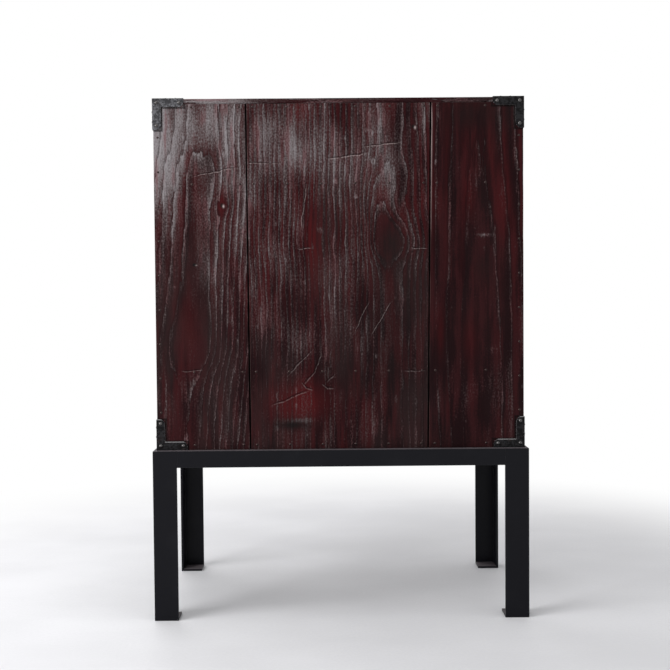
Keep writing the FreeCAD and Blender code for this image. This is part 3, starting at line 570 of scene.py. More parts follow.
# %% Edges, joints and the inside
# Painted shade for the open joints and beside the iron.
JOINT_SHADE = paint(8, 7, 7)
BARE_EDGE = paint(128, 108, 104)
BARE_PALE = paint(176, 138, 98)
BARE_DARK = paint(128, 90, 58)
EDGE_FIBRES = (0.35, 0.6)
CHEST_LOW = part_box("bottom_board")[0]
CHEST_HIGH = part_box("top_board")[1]
INNER_SIDE = 0.3664
INNER_FOOT = 0.3756
INNER_TOP = 1.0624
ARM_LENGTH = 0.065
ARM_WIDTH = 0.018
FITTING_SHADE_WIDTH = 0.004
FITTING_SHADE_SHARE = 0.8


def between(finish, axis, low, high):
    """1 between two places on an axis, 0 elsewhere."""
    place = finish.axes[axis]
    return finish.math("GREATER_THAN", place, low) * finish.math("LESS_THAN", place, high)


def inside_chest(finish, front, rear):
    """1 where a board faces the inside of the chest, between two planes in Y."""
    mask = between(finish, "X", -INNER_SIDE, INNER_SIDE) * between(finish, "Y", front, rear)
    return mask * between(finish, "Z", INNER_FOOT, INNER_TOP)


def fitting_edge(finish):
    """Distance to the inner edges of the nearest corner fitting, on the fitting and on the wood."""
    side = CHEST_HIGH.x - finish.math("ABSOLUTE", finish.axes["X"])
    height = finish.axes["Z"]
    end = finish.math("MINIMUM", height - CHEST_LOW.z, CHEST_HIGH.z - height)
    level_arm = finish.math("MAXIMUM", side - ARM_LENGTH, end - ARM_WIDTH)
    upright_arm = finish.math("MAXIMUM", side - ARM_WIDTH, end - ARM_LENGTH)
    return finish.math("ABSOLUTE", finish.math("MINIMUM", level_arm, upright_arm))


def with_places(finish, grain, wear, wood, colour):
    """Adds rubbed edges, painted shade in the joints and beside the iron, and the bare inside to a
    colour.
    """
    rubbed = finish.edges() * (wear.edges + summed(finish, grain, wear.bare_edges))
    colour = finish.mix(rubbed * finish.rise(wood.fibre, *EDGE_FIBRES), colour, BARE_EDGE)
    if wear.seam_depth:
        # Painted shade in the open joints between the back boards, and along the inner edges of the
        # corner fittings.
        seam_shade = finish.rise(finish.axes["Y"], *wear.seam_depth)
        seam_shade = seam_shade * between(finish, "X", -INNER_SIDE, INNER_SIDE)
        shade_beside_iron = finish.rise(fitting_edge(finish), FITTING_SHADE_WIDTH, 0) * FITTING_SHADE_SHARE
        colour = finish.mix(seam_shade, colour, JOINT_SHADE)
        colour = finish.mix(shade_beside_iron, colour, JOINT_SHADE)
    if wear.inside:
        bare = finish.mix(wood.fibre, BARE_PALE, BARE_DARK)
        colour = finish.mix(inside_chest(finish, *wear.inside), colour, bare)
    return colour


print("chest from", tuple(CHEST_LOW), "to", tuple(CHEST_HIGH))

# %% [markdown]
# Now the layers come together. The lacquer has lost most of its gloss, and is duller still where it
# is rubbed. The hard rings and fibres stand a little above the soft wood, and scratches and furrows
# lie below it. A bump shows this relief without new faces, which is enough for so shallow a form.

# %% Worn lacquer
LACQUER_GLOSS = 0.04
LACQUER_RELIEF = 0.0016


def worn_lacquer(name, grain, wear):
    finish = Finish(name, {"Specular IOR Level": LACQUER_GLOSS})
    wood = wood_patterns(finish, grain, wear)
    rub = rubbing(finish, grain, wear, wood)
    colour, grey = rubbed_lacquer(finish, grain, wear, wood, rub)
    colour, hollow = marked_lacquer(finish, grain, wear, wood, colour)
    colour = with_places(finish, grain, wear, wood, colour)
    finish.set({"Base Color": colour, "Roughness": 0.5 + grey * 0.2})
    height = wood.hard * 0.5 + wood.fibre * 0.35 + wood.fine * 0.25 - hollow * 0.4
    finish.relief(height, LACQUER_RELIEF)
    return finish.material


print("depth of the relief, in metres", LACQUER_RELIEF)

# %% [markdown]
# The three back boards come from different logs. Seen from behind, the left one shows the arches of
# a heart close to its face and a small knot, and it is rubbed pale at the top. At the upper left
# that grey is also painted sheen of the window light, and two small pale dots are painted glints.
# The marks that can be told apart are placed one by one: across the board, up it, how far they
# spread and how strong they are. Noise alone would give a board of the same kind, but not this one.

# %% Left board of the back
BACK_FACE = 0.212
SEAM = (0.2112, 0.2095)
INSIDE = (-0.15, 0.2005)

arched = grain_of(
    "XYZ", (0.303, BACK_FACE, 0.574),
    above=[(0.0329, 0, 0.1), (0.035, 0.355, 0.05)],
    below=[(0.044, 0, 0.062)],
    lean=-0.075, skew=0.25, spacing=0.014, drift=0.014, ripple=0.011, pith=0.0301, seed=4,
    knots=[mark(0.243, 0.865, 0.016, 0.022, 0.9)],
)
arched_wear = wear_of(
    0.2, 0.61, reach=(0.45, 1.0), red=0.24, edges=0.1, seam_depth=SEAM, inside=INSIDE,
    # Rubbed places. The strong grey ones at the upper left are also painted sheen of the window
    # light.
    haze=[
        mark(0.365, 0.98, 0.045, 0.14, 0.42),
        mark(0.285, 0.97, 0.03, 0.02, -0.15),
        mark(0.275, 1.04, 0.05, 0.04, 0.25),
        mark(0.225, 0.99, 0.04, 0.08, 0.28),
        mark(0.300, 0.72, 0.03, 0.13, 0.15),
        mark(0.318, 0.80, 0.018, 0.13, -0.3),
        mark(0.345, 0.60, 0.03, 0.12, -0.12),
        mark(0.243, 0.865, 0.014, 0.02, -0.35),
        mark(0.23, 0.625, 0.012, 0.012, 0.25),
    ],
    calm=[mark(0.3, 1.0, 0.12, 0.1, 0.3)],
    red_places=[
        mark(0.315, 0.60, 0.02, 0.07, 0.35),
        mark(0.338, 0.86, 0.009, 0.05, 0.4),
        mark(0.243, 0.868, 0.011, 0.016, 0.4),
        mark(0.326, 0.39, 0.04, 0.05, 0.12),
    ],
    stains=[
        mark(0.244, 0.866, 0.0035, 0.005, 1.0),
        mark(0.302, 0.743, 0.004, 0.003, 1.0),
        mark(0.29, 0.72, 0.02, 0.06, 0.4),
    ],
    scratches=[
        ((0.309, 0.925), (0.203, 0.947)),
        ((0.335, 0.522), (0.285, 0.5217)),
    ],
    # Painted highlights beside two dark spots.
    chips=[
        mark(0.240, 0.864, 0.002, 0.003, 0.9),
        mark(0.298, 0.742, 0.002, 0.0014, 0.4),
    ],
)
wood_finishes = {"back_board_right": worn_lacquer("lacquer_arched", arched, arched_wear)}
print("left board of the back:", len(arched_wear.haze), "hazes")

# %% [markdown]
# The middle board has fine, nearly straight rings that part round one dark flame. It is the most
# scratched of the three: long scratches run across its top, and a tangle of short ones lies below
# its middle. Each is a line between two points, with a width where it isn't the usual one.

# %% Middle board of the back
flamed = grain_of(
    "XYZ", (-0.107, BACK_FACE, 0.79),
    above=[(0.0415, 0, 0.057), (0.03, 0.1, 0.06)],
    below=[(0.042, 0, 0.039)],
    spacing=0.0098, band=0.42, ripple=0.009, pith=0.0314,
    bends=[mark(-0.1, 0.85, 0.05, 0.06, 0.26)],
    knots=[mark(-0.076, 0.80, 0.07, 0.06, -0.4)],
)
flamed_wear = wear_of(
    0.18, 0.46, reach=(0.45, 0.98), lines=0.85, red=0.25, edges=0.1, seam_depth=SEAM, inside=INSIDE,
    haze=[
        mark(0.02, 0.97, 0.07, 0.08, 0.24),
        mark(0.145, 1.0, 0.05, 0.07, 0.32),
        mark(0.0, 0.83, 0.07, 0.06, -0.16),
        mark(-0.15, 0.86, 0.06, 0.06, -0.16),
        mark(-0.105, 0.95, 0.024, 0.075, 0.34),
        mark(0.06, 0.58, 0.11, 0.06, 0.2),
        mark(0.088, 0.4155, 0.032, 0.005, 0.4),
        mark(-0.15, 0.71, 0.05, 0.05, -0.1),
        mark(-0.106, 0.795, 0.02, 0.04, -0.6),
        mark(0.058, 0.78, 0.016, 0.075, -0.3),
        mark(-0.187, 0.9, 0.006, 0.12, -0.3),
        mark(-0.018, 0.72, 0.028, 0.12, 0.1),
        mark(0.096, 1.0, 0.012, 0.05, 0.2),
    ],
    calm=[
        mark(-0.103, 0.93, 0.035, 0.07, 0.55),
        mark(0.1, 1.0, 0.12, 0.08, 0.25),
    ],
    red_places=[
        mark(0.085, 0.455, 0.065, 0.04, 0.72),
        mark(0.079, 1.06, 0.02, 0.03, 0.6),
        mark(-0.106, 0.80, 0.03, 0.06, -0.25),
        mark(-0.12, 1.0, 0.05, 0.09, -0.3),
        mark(0.055, 0.79, 0.014, 0.07, 0.3),
    ],
    stains=[
        mark(-0.155, 1.026, 0.0035, 0.004, 1.0),
        mark(0.10, 0.407, 0.04, 0.012, 0.9),
        mark(-0.1, 0.55, 0.05, 0.1, 0.4),
        mark(-0.108, 0.78, 0.028, 0.055, 0.5),
        mark(-0.13, 0.66, 0.06, 0.07, 0.3),
    ],
    scratches=[
        ((0.0303, 0.9604), (-0.0632, 0.9721), 1.3),
        ((-0.05, 0.983), (-0.1319, 0.9944), 1.1),
        ((0.2047, 0.9518), (0.1155, 0.9524), 0.8),
        ((0.066, 0.917), (0.0816, 0.8035)),
        ((0.088, 0.774), (0.057, 0.774)),
        ((-0.147, 0.7747), (-0.185, 0.7744)),
        ((0.149, 0.444), (0.060, 0.480), 1.3),
        ((0.082, 0.496), (0.070, 0.481), 1.3),
        ((0.075, 0.484), (0.057, 0.479), 1.3),
        ((0.077, 0.491), (0.050, 0.520), 1.3),
        ((0.055, 0.512), (0.036, 0.556)),
        ((0.112, 0.507), (0.052, 0.569)),
        ((0.040, 0.491), (0.025, 0.480), 1.3),
        ((0.030, 0.481), (0.013, 0.484), 1.3),
        ((0.029, 0.494), (0.010, 0.514)),
        ((0.0252, 0.530), (0.0272, 0.501)),
        ((-0.062, 0.668), (-0.026, 0.591)),
        ((-0.111, 0.668), (-0.062, 0.588)),
        ((-0.129, 0.518), (-0.181, 0.5177)),
    ],
    # A painted highlight beside a dark spot.
    chips=[mark(-0.159, 1.024, 0.0018, 0.003, 0.9)],
)
wood_finishes["back_board_centre"] = worn_lacquer("lacquer_flamed", flamed, flamed_wear)
print("middle board of the back:", len(flamed_wear.scratches), "scratches")

# %% [markdown]
# The right board has wide, faint arches and has kept most of its lacquer. Beside the open joint its
# edge is painted pale in the upper half: a painted highlight where the edge stands proud and catches
# the light. The joint is out of plumb, so the highlight is a row of small marks that follow it.

# %% Right board of the back
JOINT_TOP = (-0.1938, 1.04)
JOINT_SLOPE = 0.0123
# Heights of the marks of painted highlight beside the joint.
GLINT_LEVELS = (1.04, 0.99, 0.94, 0.89, 0.84)


def joint_glint(level):
    """A piece of the painted highlight on the edge beside the joint, which is out of plumb. It fades
    downwards.
    """
    across = JOINT_TOP[0] + (JOINT_TOP[1] - level) * JOINT_SLOPE
    return mark(across, level, 0.0013, 0.03, (level - 0.75) * 2)


plain = grain_of(
    "XYZ", (-0.2935, BACK_FACE, 0.45),
    above=[(0.054, 0, 0.45)],
    below=[(0.03, 0, 0.2)],
    lean=0.012, spacing=0.0235, band=0.25, drift=0.03, ripple=0.011, pith=0.03,
)
plain_wear = wear_of(
    0.14, 0.09, lines=1.1, red=0.16, dull=0.12, edges=0.1, seam_depth=SEAM, inside=INSIDE,
    haze=[
        mark(-0.3037, 0.8005, 0.015, 0.0045, 0.55),
        mark(-0.3155, 0.5626, 0.014, 0.01, 0.35),
        mark(-0.315, 0.48, 0.045, 0.05, 0.2),
        mark(-0.2, 0.456, 0.01, 0.02, 0.25),
        mark(-0.292, 0.93, 0.015, 0.06, -0.2),
    ],
    red_places=[
        mark(-0.199, 0.88, 0.01, 0.06, 0.35),
        mark(-0.272, 0.88, 0.012, 0.045, 0.4),
        mark(-0.343, 0.86, 0.014, 0.07, 0.35),
        mark(-0.272, 0.58, 0.016, 0.05, 0.3),
        mark(-0.21, 0.6, 0.008, 0.05, 0.35),
    ],
    stains=[
        mark(-0.27, 1.05, 0.05, 0.035, 0.5),
        mark(-0.34, 1.06, 0.05, 0.04, 0.4),
        mark(-0.302, 0.735, 0.025, 0.03, 0.4),
    ],
    # A painted highlight along the edge beside the joint.
    chips=[joint_glint(level) for level in GLINT_LEVELS],
)
wood_finishes["back_board_left"] = worn_lacquer("lacquer_plain", plain, plain_wear)
print("right board of the back:", len(plain_wear.chips), "chips beside the joint")

# %% [markdown]
# The other boards are lacquered the same way. Sides, doors, drawer fronts and top are flat-sawn
# too, so each of them gets a heart of its own at its face and shows a set of long arches. The grain
# of a side or a door stands upright, and the grain of a top or a drawer front lies along the chest.
# One function makes the cut, because only the place of the heart and its lean differ.

# %% Sides, doors, drawer fronts and top
ARCH_SPACING = 0.013


def arched_grain(axes, heart, lean):
    """A flat-sawn board whose rings close into arches above and below the heart."""
    return grain_of(
        axes, heart,
        above=[(ARCH_SPACING * 3.35, 0, 0.3)],
        below=[(ARCH_SPACING * 2.35, 0, 0.18)],
        lean=lean, skew=lean * 5,
        spacing=ARCH_SPACING, drift=0.03, ripple=0.01, pith=ARCH_SPACING * 1.4,
    )


side_wear = wear_of(0.2, 0.38, lines=0.8, red=0.2, edges=0.3, inside=INSIDE)
for name, face in (("left", CHEST_LOW.x), ("right", CHEST_HIGH.x)):
    grain = arched_grain("YXZ", (0.02, face, 0.62), math.copysign(0.04, face))
    finish = worn_lacquer(f"lacquer_side_{name}", grain, side_wear)
    wood_finishes[f"side_board_{name}"] = finish

door_wear = wear_of(0.14, 0.14, red=0.25)
for name in ("left", "right"):
    low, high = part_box(f"{name}_door_panel")
    heart = ((low.x + high.x) / 2 - 0.04, low.y, 0.66)
    finish = worn_lacquer(f"lacquer_door_{name}", arched_grain("XYZ", heart, 0.03), door_wear)
    wood_finishes[f"{name}_door_panel"] = finish

front_wear = wear_of(0.14, 0.14, red=0.3, inside=(-0.1935, -0.18))
for name, shift in (("upper_left", 0.05), ("upper_right", -0.02), ("lower", 0.1)):
    low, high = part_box(f"{name}_drawer_front")
    heart = ((low.z + high.z) / 2 - 0.02, low.y, (low.x + high.x) / 2 + shift)
    finish = worn_lacquer(f"lacquer_{name}_front", arched_grain("ZYX", heart, 0.02), front_wear)
    wood_finishes[f"{name}_drawer_front"] = finish

top_wear = wear_of(
    0.2, 0.4, reach=(-0.3, 0.35), red=0.15, edges=0.4,
    haze=[mark(0.212, 0.22, 0.01, 0.16, 0.5)],
    bare_edges=[mark(0.212, 0.22, 0.02, 0.16, 0.8)],
)
top_grain = arched_grain("YZX", (-0.03, CHEST_HIGH.z, -0.06), -0.03)
wood_finishes["top_board"] = worn_lacquer("lacquer_top", top_grain, top_wear)
print("boards with finishes of their own", len(wood_finishes))

# %% [markdown]
# Shelves and cleats are small or hidden, so a finish of their own for each would be wasted. They
# share two plain cuts whose rings run nearly straight, and the inside of the shelves is bare.

# %% Shelves and cleats
level = grain_of("ZYX", (0.7, -0.3, 0.1), lean=0.02, spacing=0.011)
lying = grain_of("YZX", (0.05, 1.0, 0.1), lean=0.02)
cleat_finish = worn_lacquer("lacquer_cleats", level, wear_of(0.14, 0.14, red=0.3))
shelf_finish = worn_lacquer("lacquer_level_boards", lying, wear_of(0.25, 0.25, inside=INSIDE))
for node in nodes:
    if node.endswith("_cleats"):
        wood_finishes[node] = cleat_finish
    elif node in ("bottom_board", "upper_shelf", "lower_shelf", "centre_partition"):
        wood_finishes[node] = shelf_finish
print("lacquered boards", len(wood_finishes))

# %% [markdown]
# Drawer sides, backs and bottoms are left bare, as in most chests: a pale softwood that has gone
# brown with age. The same rings serve, darker at their hard end, with fine fibres and slow patches.

# %% Bare wood
BARE_GLOSS = 0.2
BARE_RELIEF = 0.0003


def bare_wood(name, grain):
    finish = Finish(name, {"Specular IOR Level": BARE_GLOSS})
    phase, strength = ring_phase(finish, grain)
    fibre = finish.noise(along_grain(grain, 380, 14), 3)
    patch = finish.noise(along_grain(grain, 10, 4), 3, 5)
    hard = finish.rise(phase, 0.45, 0.9) * finish.rise(phase, 1, 0.94) * (0.5 + strength * 0.5)
    dark = hard * 0.6 + (fibre - 0.5) * 0.5 + (patch - 0.5) * 0.6 + finish.edges() * 0.2
    colour = finish.mix(dark, BARE_PALE, BARE_DARK)
    finish.set({"Base Color": colour, "Roughness": 0.55 + fibre * 0.2})
    finish.relief(hard * 0.5 + fibre * 0.5, BARE_RELIEF)
    return finish.material


along_depth = grain_of("ZXY", (0.5, 0.1, 0.1), lean=0.02, spacing=0.008)
bare_along_depth = bare_wood("bare_wood_sides", along_depth)
bare_along_width = bare_wood("bare_wood_backs", level)
print("bare wood", bare_along_depth.name, bare_along_width.name)

# %% [markdown]
# The fittings are sheet iron, forged and blackened. Hammering leaves shallow dents, and years of
# wear bring bare metal back at the edges. A painted highlight lies on the edges and along the inner
# rims, and the flat of the plate keeps a mottled dark skin with a trace of rust. The fitting at the
# upper left corner of the back, on the window side, is painted paler and more mottled: painted
# light. The nails are plainer: one mottle between two tones, and smoother.

# %% Forged iron
IRON_DARK = paint(20, 19, 20)
IRON_PALE = paint(104, 104, 108)
# Worn bare metal on the edges, and painted highlight on the edges and inner rims.
IRON_BARE_AND_GLINT = paint(176, 175, 176)
IRON_RUST = paint(74, 52, 44)
IRON_METAL = 0.9
IRON_RELIEF = 0.0005
NAIL_RELIEF = 0.0001
RIM_WIDTH = (0.002, 0.0006)
DENT_WAVES = 110
SKIN_WAVES = 270
RUST_WAVES = 55
NAIL_WAVES = 300
CORNER_LIGHT_LIMITS = (1.0, 1.35)
MOTTLE_LIMITS = (0.38, 0.68)
RUST_LIMITS = (0.58, 0.75)
BARE_AND_GLINT_LIMITS = (0.2, 0.5)


def forged_iron(name):
    finish = Finish(name, {"Metallic": IRON_METAL})
    dents = finish.even_noise(DENT_WAVES, 2)
    skin = finish.even_noise(SKIN_WAVES, 4, 3)
    # Painted light: paler and more mottled toward the fitting at the upper left, on the window side.
    corner_light = finish.rise(finish.axes["X"] * 0.8 + finish.axes["Z"], *CORNER_LIGHT_LIMITS) * 0.42
    mottle = finish.rise(skin + (dents - 0.5) * 0.6, *MOTTLE_LIMITS)
    mottle = mottle * (0.12 + corner_light * 1.5) + corner_light * 0.55
    rust = finish.rise(finish.even_noise(RUST_WAVES, 3, 9), *RUST_LIMITS) * 0.2
    # Painted highlight along the inner rims, and worn bare metal on the edges.
    rim_glint = finish.rise(fitting_edge(finish), *RIM_WIDTH) * 0.6
    bare_and_glint = finish.math("MAXIMUM", finish.edges(), rim_glint) * finish.rise(skin, *BARE_AND_GLINT_LIMITS)
    colour = finish.mix(mottle, IRON_DARK, IRON_PALE)
    colour = finish.mix(rust, colour, IRON_RUST)
    colour = finish.mix(bare_and_glint, colour, IRON_BARE_AND_GLINT)
    finish.set({"Base Color": colour, "Roughness": 0.6 - mottle * 0.15 - bare_and_glint * 0.2})
    finish.relief(dents * 0.7 + skin * 0.3, IRON_RELIEF)
    return finish.material


def nail_iron(name, dark, pale):
    finish = Finish(name, {"Metallic": IRON_METAL})
    skin = finish.even_noise(NAIL_WAVES, 3)
    finish.set({"Base Color": finish.mix(skin, dark, pale), "Roughness": 0.1 + skin * 0.14})
    finish.relief(skin, NAIL_RELIEF)
    return finish.material


iron_finish = forged_iron("forged_iron")
stud_finish = nail_iron("stud_iron", paint(60, 58, 58), paint(96, 94, 94))
brad_finish = nail_iron("brad_iron", paint(24, 18, 18), paint(66, 54, 52))
print("iron", iron_finish.name, stud_finish.name, brad_finish.name)

# %% [markdown]
# The stand is angle steel with a satin black paint, sprayed on: an even colour, a faint orange peel
# and edges where the coat is thin. Grey dust and a painted highlight lie on whatever faces up, so
# the finish reads which way a face points.

# %% Painted steel
STEEL_BLACK = paint(14, 14, 19)
STEEL_THIN = paint(46, 46, 49)
STEEL_DUST_AND_SHEEN = paint(104, 97, 101)
STEEL_GLOSS = 0.12
STEEL_RELIEF = 0.00008
PEEL_WAVES = 900
DUST_WAVES = 14
THIN_LIMITS = (0.5, 0.8)
UPWARD_LIMITS = (0.8, 0.98)


def painted_steel(name):
    finish = Finish(name, {"Specular IOR Level": STEEL_GLOSS})
    peel = finish.even_noise(PEEL_WAVES, 2)
    dust = finish.even_noise(DUST_WAVES, 4, 2)
    thin = finish.edges() * 0.25 + finish.rise(dust, *THIN_LIMITS) * 0.15
    facing = finish.node("ShaderNodeTexCoord", {}, {}, "Normal")
    upward = finish.node("ShaderNodeSeparateXYZ", {}, {0: facing}, "Z")
    upward = finish.rise(upward, *UPWARD_LIMITS)
    colour = finish.mix(thin, STEEL_BLACK, STEEL_THIN)
    # Grey dust and a painted highlight on faces that point up.
    colour = finish.mix(upward * (0.4 + dust * 0.6), colour, STEEL_DUST_AND_SHEEN)
    finish.set({"Base Color": colour, "Roughness": 0.28 + dust * 0.15 + upward * 0.3})
    finish.relief(peel, STEEL_RELIEF)
    return finish.material


steel_finish = painted_steel("painted_steel")
print("steel", steel_finish.name)

# %% [markdown]
# Real boards and plates have no knife edges. A copy of each solid is merged, sliced so that an edge
# can wander, and bevelled, and the bevel is marked so that a finish can wear through there. Some
# edges are then pushed in by noise, the way knocks and rubbing round them. A Bevel modifier would
# round the edges too, but could not mark them.

# %% Merge, slice, round and knock
SHARP = math.radians(30)
FLAT = math.radians(1)
SAME_PLACE = 0.00001
SLICE_SNAP = 0.0005
TINY = 0.00002
# Waves per metre of the knocks, and their share.
KNOCKS = ((30, 0.5), (9, 0.7))


def merged_copy(node):
    """The mesh of a solid as one skin, with its flat faces whole again."""
    piece = bmesh.new()
    piece.from_mesh(nodes[node].data)
    bmesh.ops.remove_doubles(piece, verts=piece.verts, dist=SAME_PLACE)
    bmesh.ops.dissolve_limit(piece, angle_limit=FLAT, verts=piece.verts, edges=piece.edges)
    return piece


def slice_up(piece, node, spacing):
    """Cuts a piece across its length, width and thickness, without moving its faces."""
    low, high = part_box(node)
    for axis in range(3):
        normal = Vector((0, 0, 0))
        normal[axis] = 1
        count = int((high[axis] - low[axis]) / spacing)
        for i in range(1, count):
            point = low + normal * (high[axis] - low[axis]) * i / count
            geometry = piece.verts[:] + piece.edges[:] + piece.faces[:]
            bmesh.ops.bisect_plane(
                piece, geom=geometry, dist=SLICE_SNAP, plane_co=point, plane_no=normal,
            )


def round_edges(piece, radius):
    """Rounds the sharp edges and returns the new faces."""
    sharp = [edge for edge in piece.edges if edge.calc_face_angle(0) > SHARP]
    made = bmesh.ops.bevel(
        piece, geom=sharp, offset=radius, segments=2, profile=0.5,
        affect="EDGES", material=-1, clamp_overlap=True,
    )
    return made["faces"]


def knock(faces, depth):
    """Pushes rounded edges in by up to a depth, here and there."""
    for corner in {corner for face in faces for corner in face.verts}:
        dent = sum(noise.noise(corner.co * waves) * share for waves, share in KNOCKS)
        corner.co -= corner.normal * depth * max(0, dent)


print("edges sharper than", round(math.degrees(SHARP)), "degrees are rounded")

# %% [markdown]
# A worn copy stands in for its solid: it rides with the same body, so that a drawer takes it along,
# and the solid itself is not drawn. Weighted normals keep the flats of a board flat beside its
# smooth, rounded edges.

# %% Worn copies of the solids
def new_piece(name, piece, finish):
    """Makes an object from a bmesh, smooth and with one finish."""
    for face in piece.faces:
        face.smooth = True
    mesh = bpy.data.meshes.new(name)
    piece.to_mesh(mesh)
    piece.free()
    mesh.materials.append(finish)
    made = bpy.data.objects.new(name, mesh)
    scene.collection.objects.link(made)
    return made


def worn_copy(node, finish, radius, spacing=0, depth=0):
    """A piece that stands for a solid, with worn edges."""
    piece = merged_copy(node)
    edge_mark = piece.faces.layers.float.new("edge")
    if spacing:
        slice_up(piece, node, spacing)
    rounded = round_edges(piece, radius)
    for face in rounded:
        face[edge_mark] = 1
    piece.normal_update()
    knock(rounded, depth)
    bmesh.ops.dissolve_degenerate(piece, dist=TINY, edges=piece.edges)
    worn = new_piece(f"{node}_worn", piece, finish)
    worn.modifiers.new("even_shading", "WEIGHTED_NORMAL")
    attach(worn, body_of[node])
    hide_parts(node)
    return worn


# %% [markdown]
# The lacquered boards are handled most, so their edges are the roundest and are knocked in by up to
# about a millimetre. The drawer boxes are hidden, and only have their edges broken.

# %% Wood
BOARD_ROUNDING = 0.0012
BOARD_SLICES = 0.018
KNOCK_DEPTH = 0.0012
DRAWER_ROUNDING = 0.0008
DRAWER_SLICES = 0.05

for node, finish in wood_finishes.items():
    board = worn_copy(node, finish, BOARD_ROUNDING, BOARD_SLICES, KNOCK_DEPTH)
drawer_boards = [node for node in nodes if "drawer" in node]
for node in drawer_boards:
    if node.endswith(("_side_left", "_side_right")):
        worn_copy(node, bare_along_depth, DRAWER_ROUNDING, DRAWER_SLICES)
    elif node.endswith(("_bottom", "_back")):
        worn_copy(node, bare_along_width, DRAWER_ROUNDING, DRAWER_SLICES)

# %% [markdown]
# Steel and iron are harder, so their edges are only broken. The nails, the handles, their posts and
# the finger pulls are round already and stay the solids they are: they only get a finish.

# %% Steel and iron
STEEL_ROUNDING = 0.0008
SHEET_ROUNDING = 0.0007
LOCK = ("lock_plate", "lock_case", "lock_bolt")
SMALL_IRON = {"fitting_nails": stud_finish, "back_board_nails": brad_finish}

for node in nodes:
    if node in SMALL_IRON or node.endswith(("_handle", "_posts", "_pull")):
        nodes[node].data.materials.clear()
        nodes[node].data.materials.append(SMALL_IRON.get(node, iron_finish))
    elif node.startswith("stand_") or node == "foot_plates":
        worn_copy(node, steel_finish, STEEL_ROUNDING)
    elif node.startswith("fitting_") or node in LOCK:
        worn_copy(node, iron_finish, SHEET_ROUNDING)

# %% [markdown]
# Small domed nails hold the lock plate, two at the end of each of its arms. A nail is half of a
# flattened ball: a ball is made, cut off at the face of the plate and closed again. Only their
# heads show, so they are made here and not as solids.

# %% Nails of the lock plate
NAIL_RADIUS = 0.0032
NAIL_HEIGHT = 0.0018
NAIL_INSET = 0.007
NAIL_SPREAD = 0.021
WIDE_SPREAD = 1.6


def nail_head(piece, place):
    made = bmesh.ops.create_uvsphere(piece, u_segments=16, v_segments=8, radius=NAIL_RADIUS)
    quarter_turn = Matrix.Rotation(math.radians(90), 3, "X")
    bmesh.ops.rotate(piece, matrix=quarter_turn, verts=made["verts"])
    bmesh.ops.scale(piece, vec=(1, NAIL_HEIGHT / NAIL_RADIUS, 1), verts=made["verts"])
    bmesh.ops.translate(piece, vec=place, verts=made["verts"])


low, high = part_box("lock_plate")
middle = (low + high) / 2
reach = (high - low) / 2 - Vector((NAIL_INSET, 0, NAIL_INSET))
heads = bmesh.new()
for side in (-1, 1):
    for spread in (-NAIL_SPREAD, NAIL_SPREAD):
        nail_head(heads, (middle.x + reach.x * side, low.y, middle.z + spread))
        nail_head(heads, (middle.x + spread * WIDE_SPREAD, low.y, middle.z + reach.z * side))
geometry = heads.verts[:] + heads.edges[:] + heads.faces[:]
bmesh.ops.bisect_plane(
    heads, geom=geometry, dist=SAME_PLACE, plane_co=low, plane_no=(0, -1, 0), clear_inner=True,
)
bmesh.ops.holes_fill(heads, edges=heads.edges)
bmesh.ops.recalc_face_normals(heads, faces=heads.faces)
lock_nails = new_piece("lock_plate_nails", heads, stud_finish)
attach(lock_nails, body_of["lock_plate"])
print("lock plate nails", len(lock_nails.data.polygons), "faces")

# %% [markdown]
# The object stands on a pale floor. A plane with a plain finish would show an edge behind it, so the
# floor turns white with distance. The white is only seen, directly, in a reflection or through
# glass, and adds no light. Close to the object the floor keeps its shadow.

# %% Floor
WHITE = (1, 1, 1, 1)
FLOOR_REACH = 12
FLOOR_DARK = paint(222, 222, 225)
FLOOR_PALE = paint(232, 232, 235)
FLOOR_FADE = (0.8, 1.7)


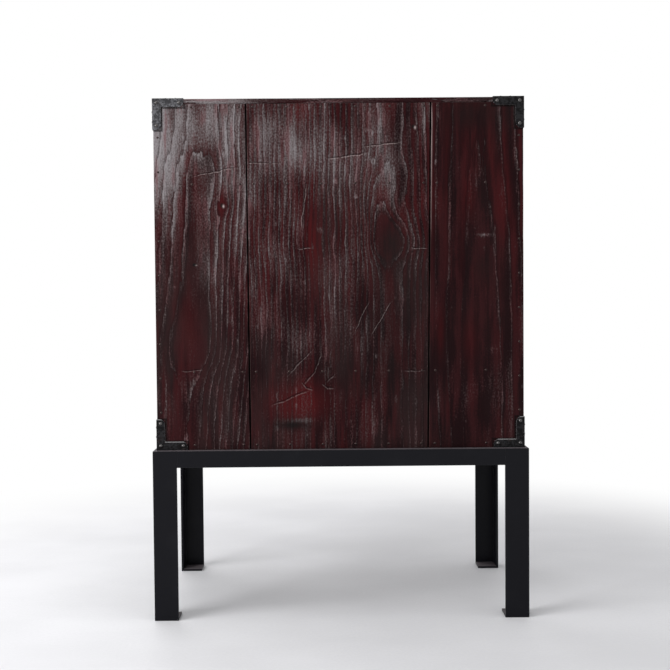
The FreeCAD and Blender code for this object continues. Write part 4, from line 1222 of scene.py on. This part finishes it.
def pale_floor():
    finish = Finish("pale_floor", {"Roughness": 0.6, "Specular IOR Level": 0.2})
    tone = finish.noise((2, 3, 2), 5) + (finish.even_noise(160, 3) - 0.5) * 0.3
    colour = finish.mix(finish.rise(tone, 0.3, 0.75), FLOOR_DARK, FLOOR_PALE)
    finish.set({"Base Color": colour})
    side = finish.axes["X"]
    depth = finish.axes["Y"]
    far = finish.rise((side * side + depth * depth) ** 0.5, *FLOOR_FADE) * finish.first_seen()
    shaded = Field(finish, finish.shader.outputs[0])
    white = finish.node("ShaderNodeEmission", {}, {"Color": WHITE, "Strength": 1})
    both = finish.node("ShaderNodeMixShader", {}, {0: far, 1: shaded, 2: white})
    finish.feed(finish.tree.nodes["Material Output"].inputs["Surface"], both)
    return finish.material


ground = bmesh.new()
bmesh.ops.create_grid(ground, x_segments=1, y_segments=1, size=FLOOR_REACH)
floor = new_piece("floor", ground, pale_floor())
print("floor", tuple(floor.dimensions))

# %% [markdown]
# The room gives soft light from all round, and is seen as plain white. A wide lamp stands for a
# window on the left of the back, a weaker one lights the front, and a third hangs above. Wide lamps
# give the soft shadows of a room, where a point or a sun would give hard ones.

# %% Light
ROOM_LIGHT = 0.55
MIDDLE = (0, 0, 0.65)

world = bpy.data.worlds.new("room")
scene.world = world
world.use_nodes = True
room = NodeTree(world.node_tree)
ambient = room.node("ShaderNodeBackground", {}, {"Color": WHITE, "Strength": ROOM_LIGHT})
backdrop = room.node("ShaderNodeBackground", {}, {"Color": WHITE, "Strength": 1})
blend = room.node("ShaderNodeMixShader", {}, {0: room.first_seen(), 1: ambient, 2: backdrop})
room.feed(room.tree.nodes["World Output"].inputs["Surface"], blend)


def soft_lamp(name, place, aim, size, power):
    lamp = bpy.data.lights.new(name, "AREA")
    lamp.size = size
    lamp.energy = power
    holder = bpy.data.objects.new(name, lamp)
    holder.location = place
    direction = Vector(aim) - Vector(place)
    holder.rotation_euler = direction.to_track_quat("-Z", "Y").to_euler()
    scene.collection.objects.link(holder)


soft_lamp("window", (2.6, 1.7, 1.5), MIDDLE, 1.8, 70)
soft_lamp("room_front", (1.5, -2.6, 2.0), MIDDLE, 2.0, 25)
soft_lamp("ceiling", (0.3, 0.6, 3.2), (0, 0.3, 0), 3.0, 30)
print("lamps", sorted(lamp.name for lamp in bpy.data.lights))

# %% [markdown]
# Wear takes material away and never adds any.
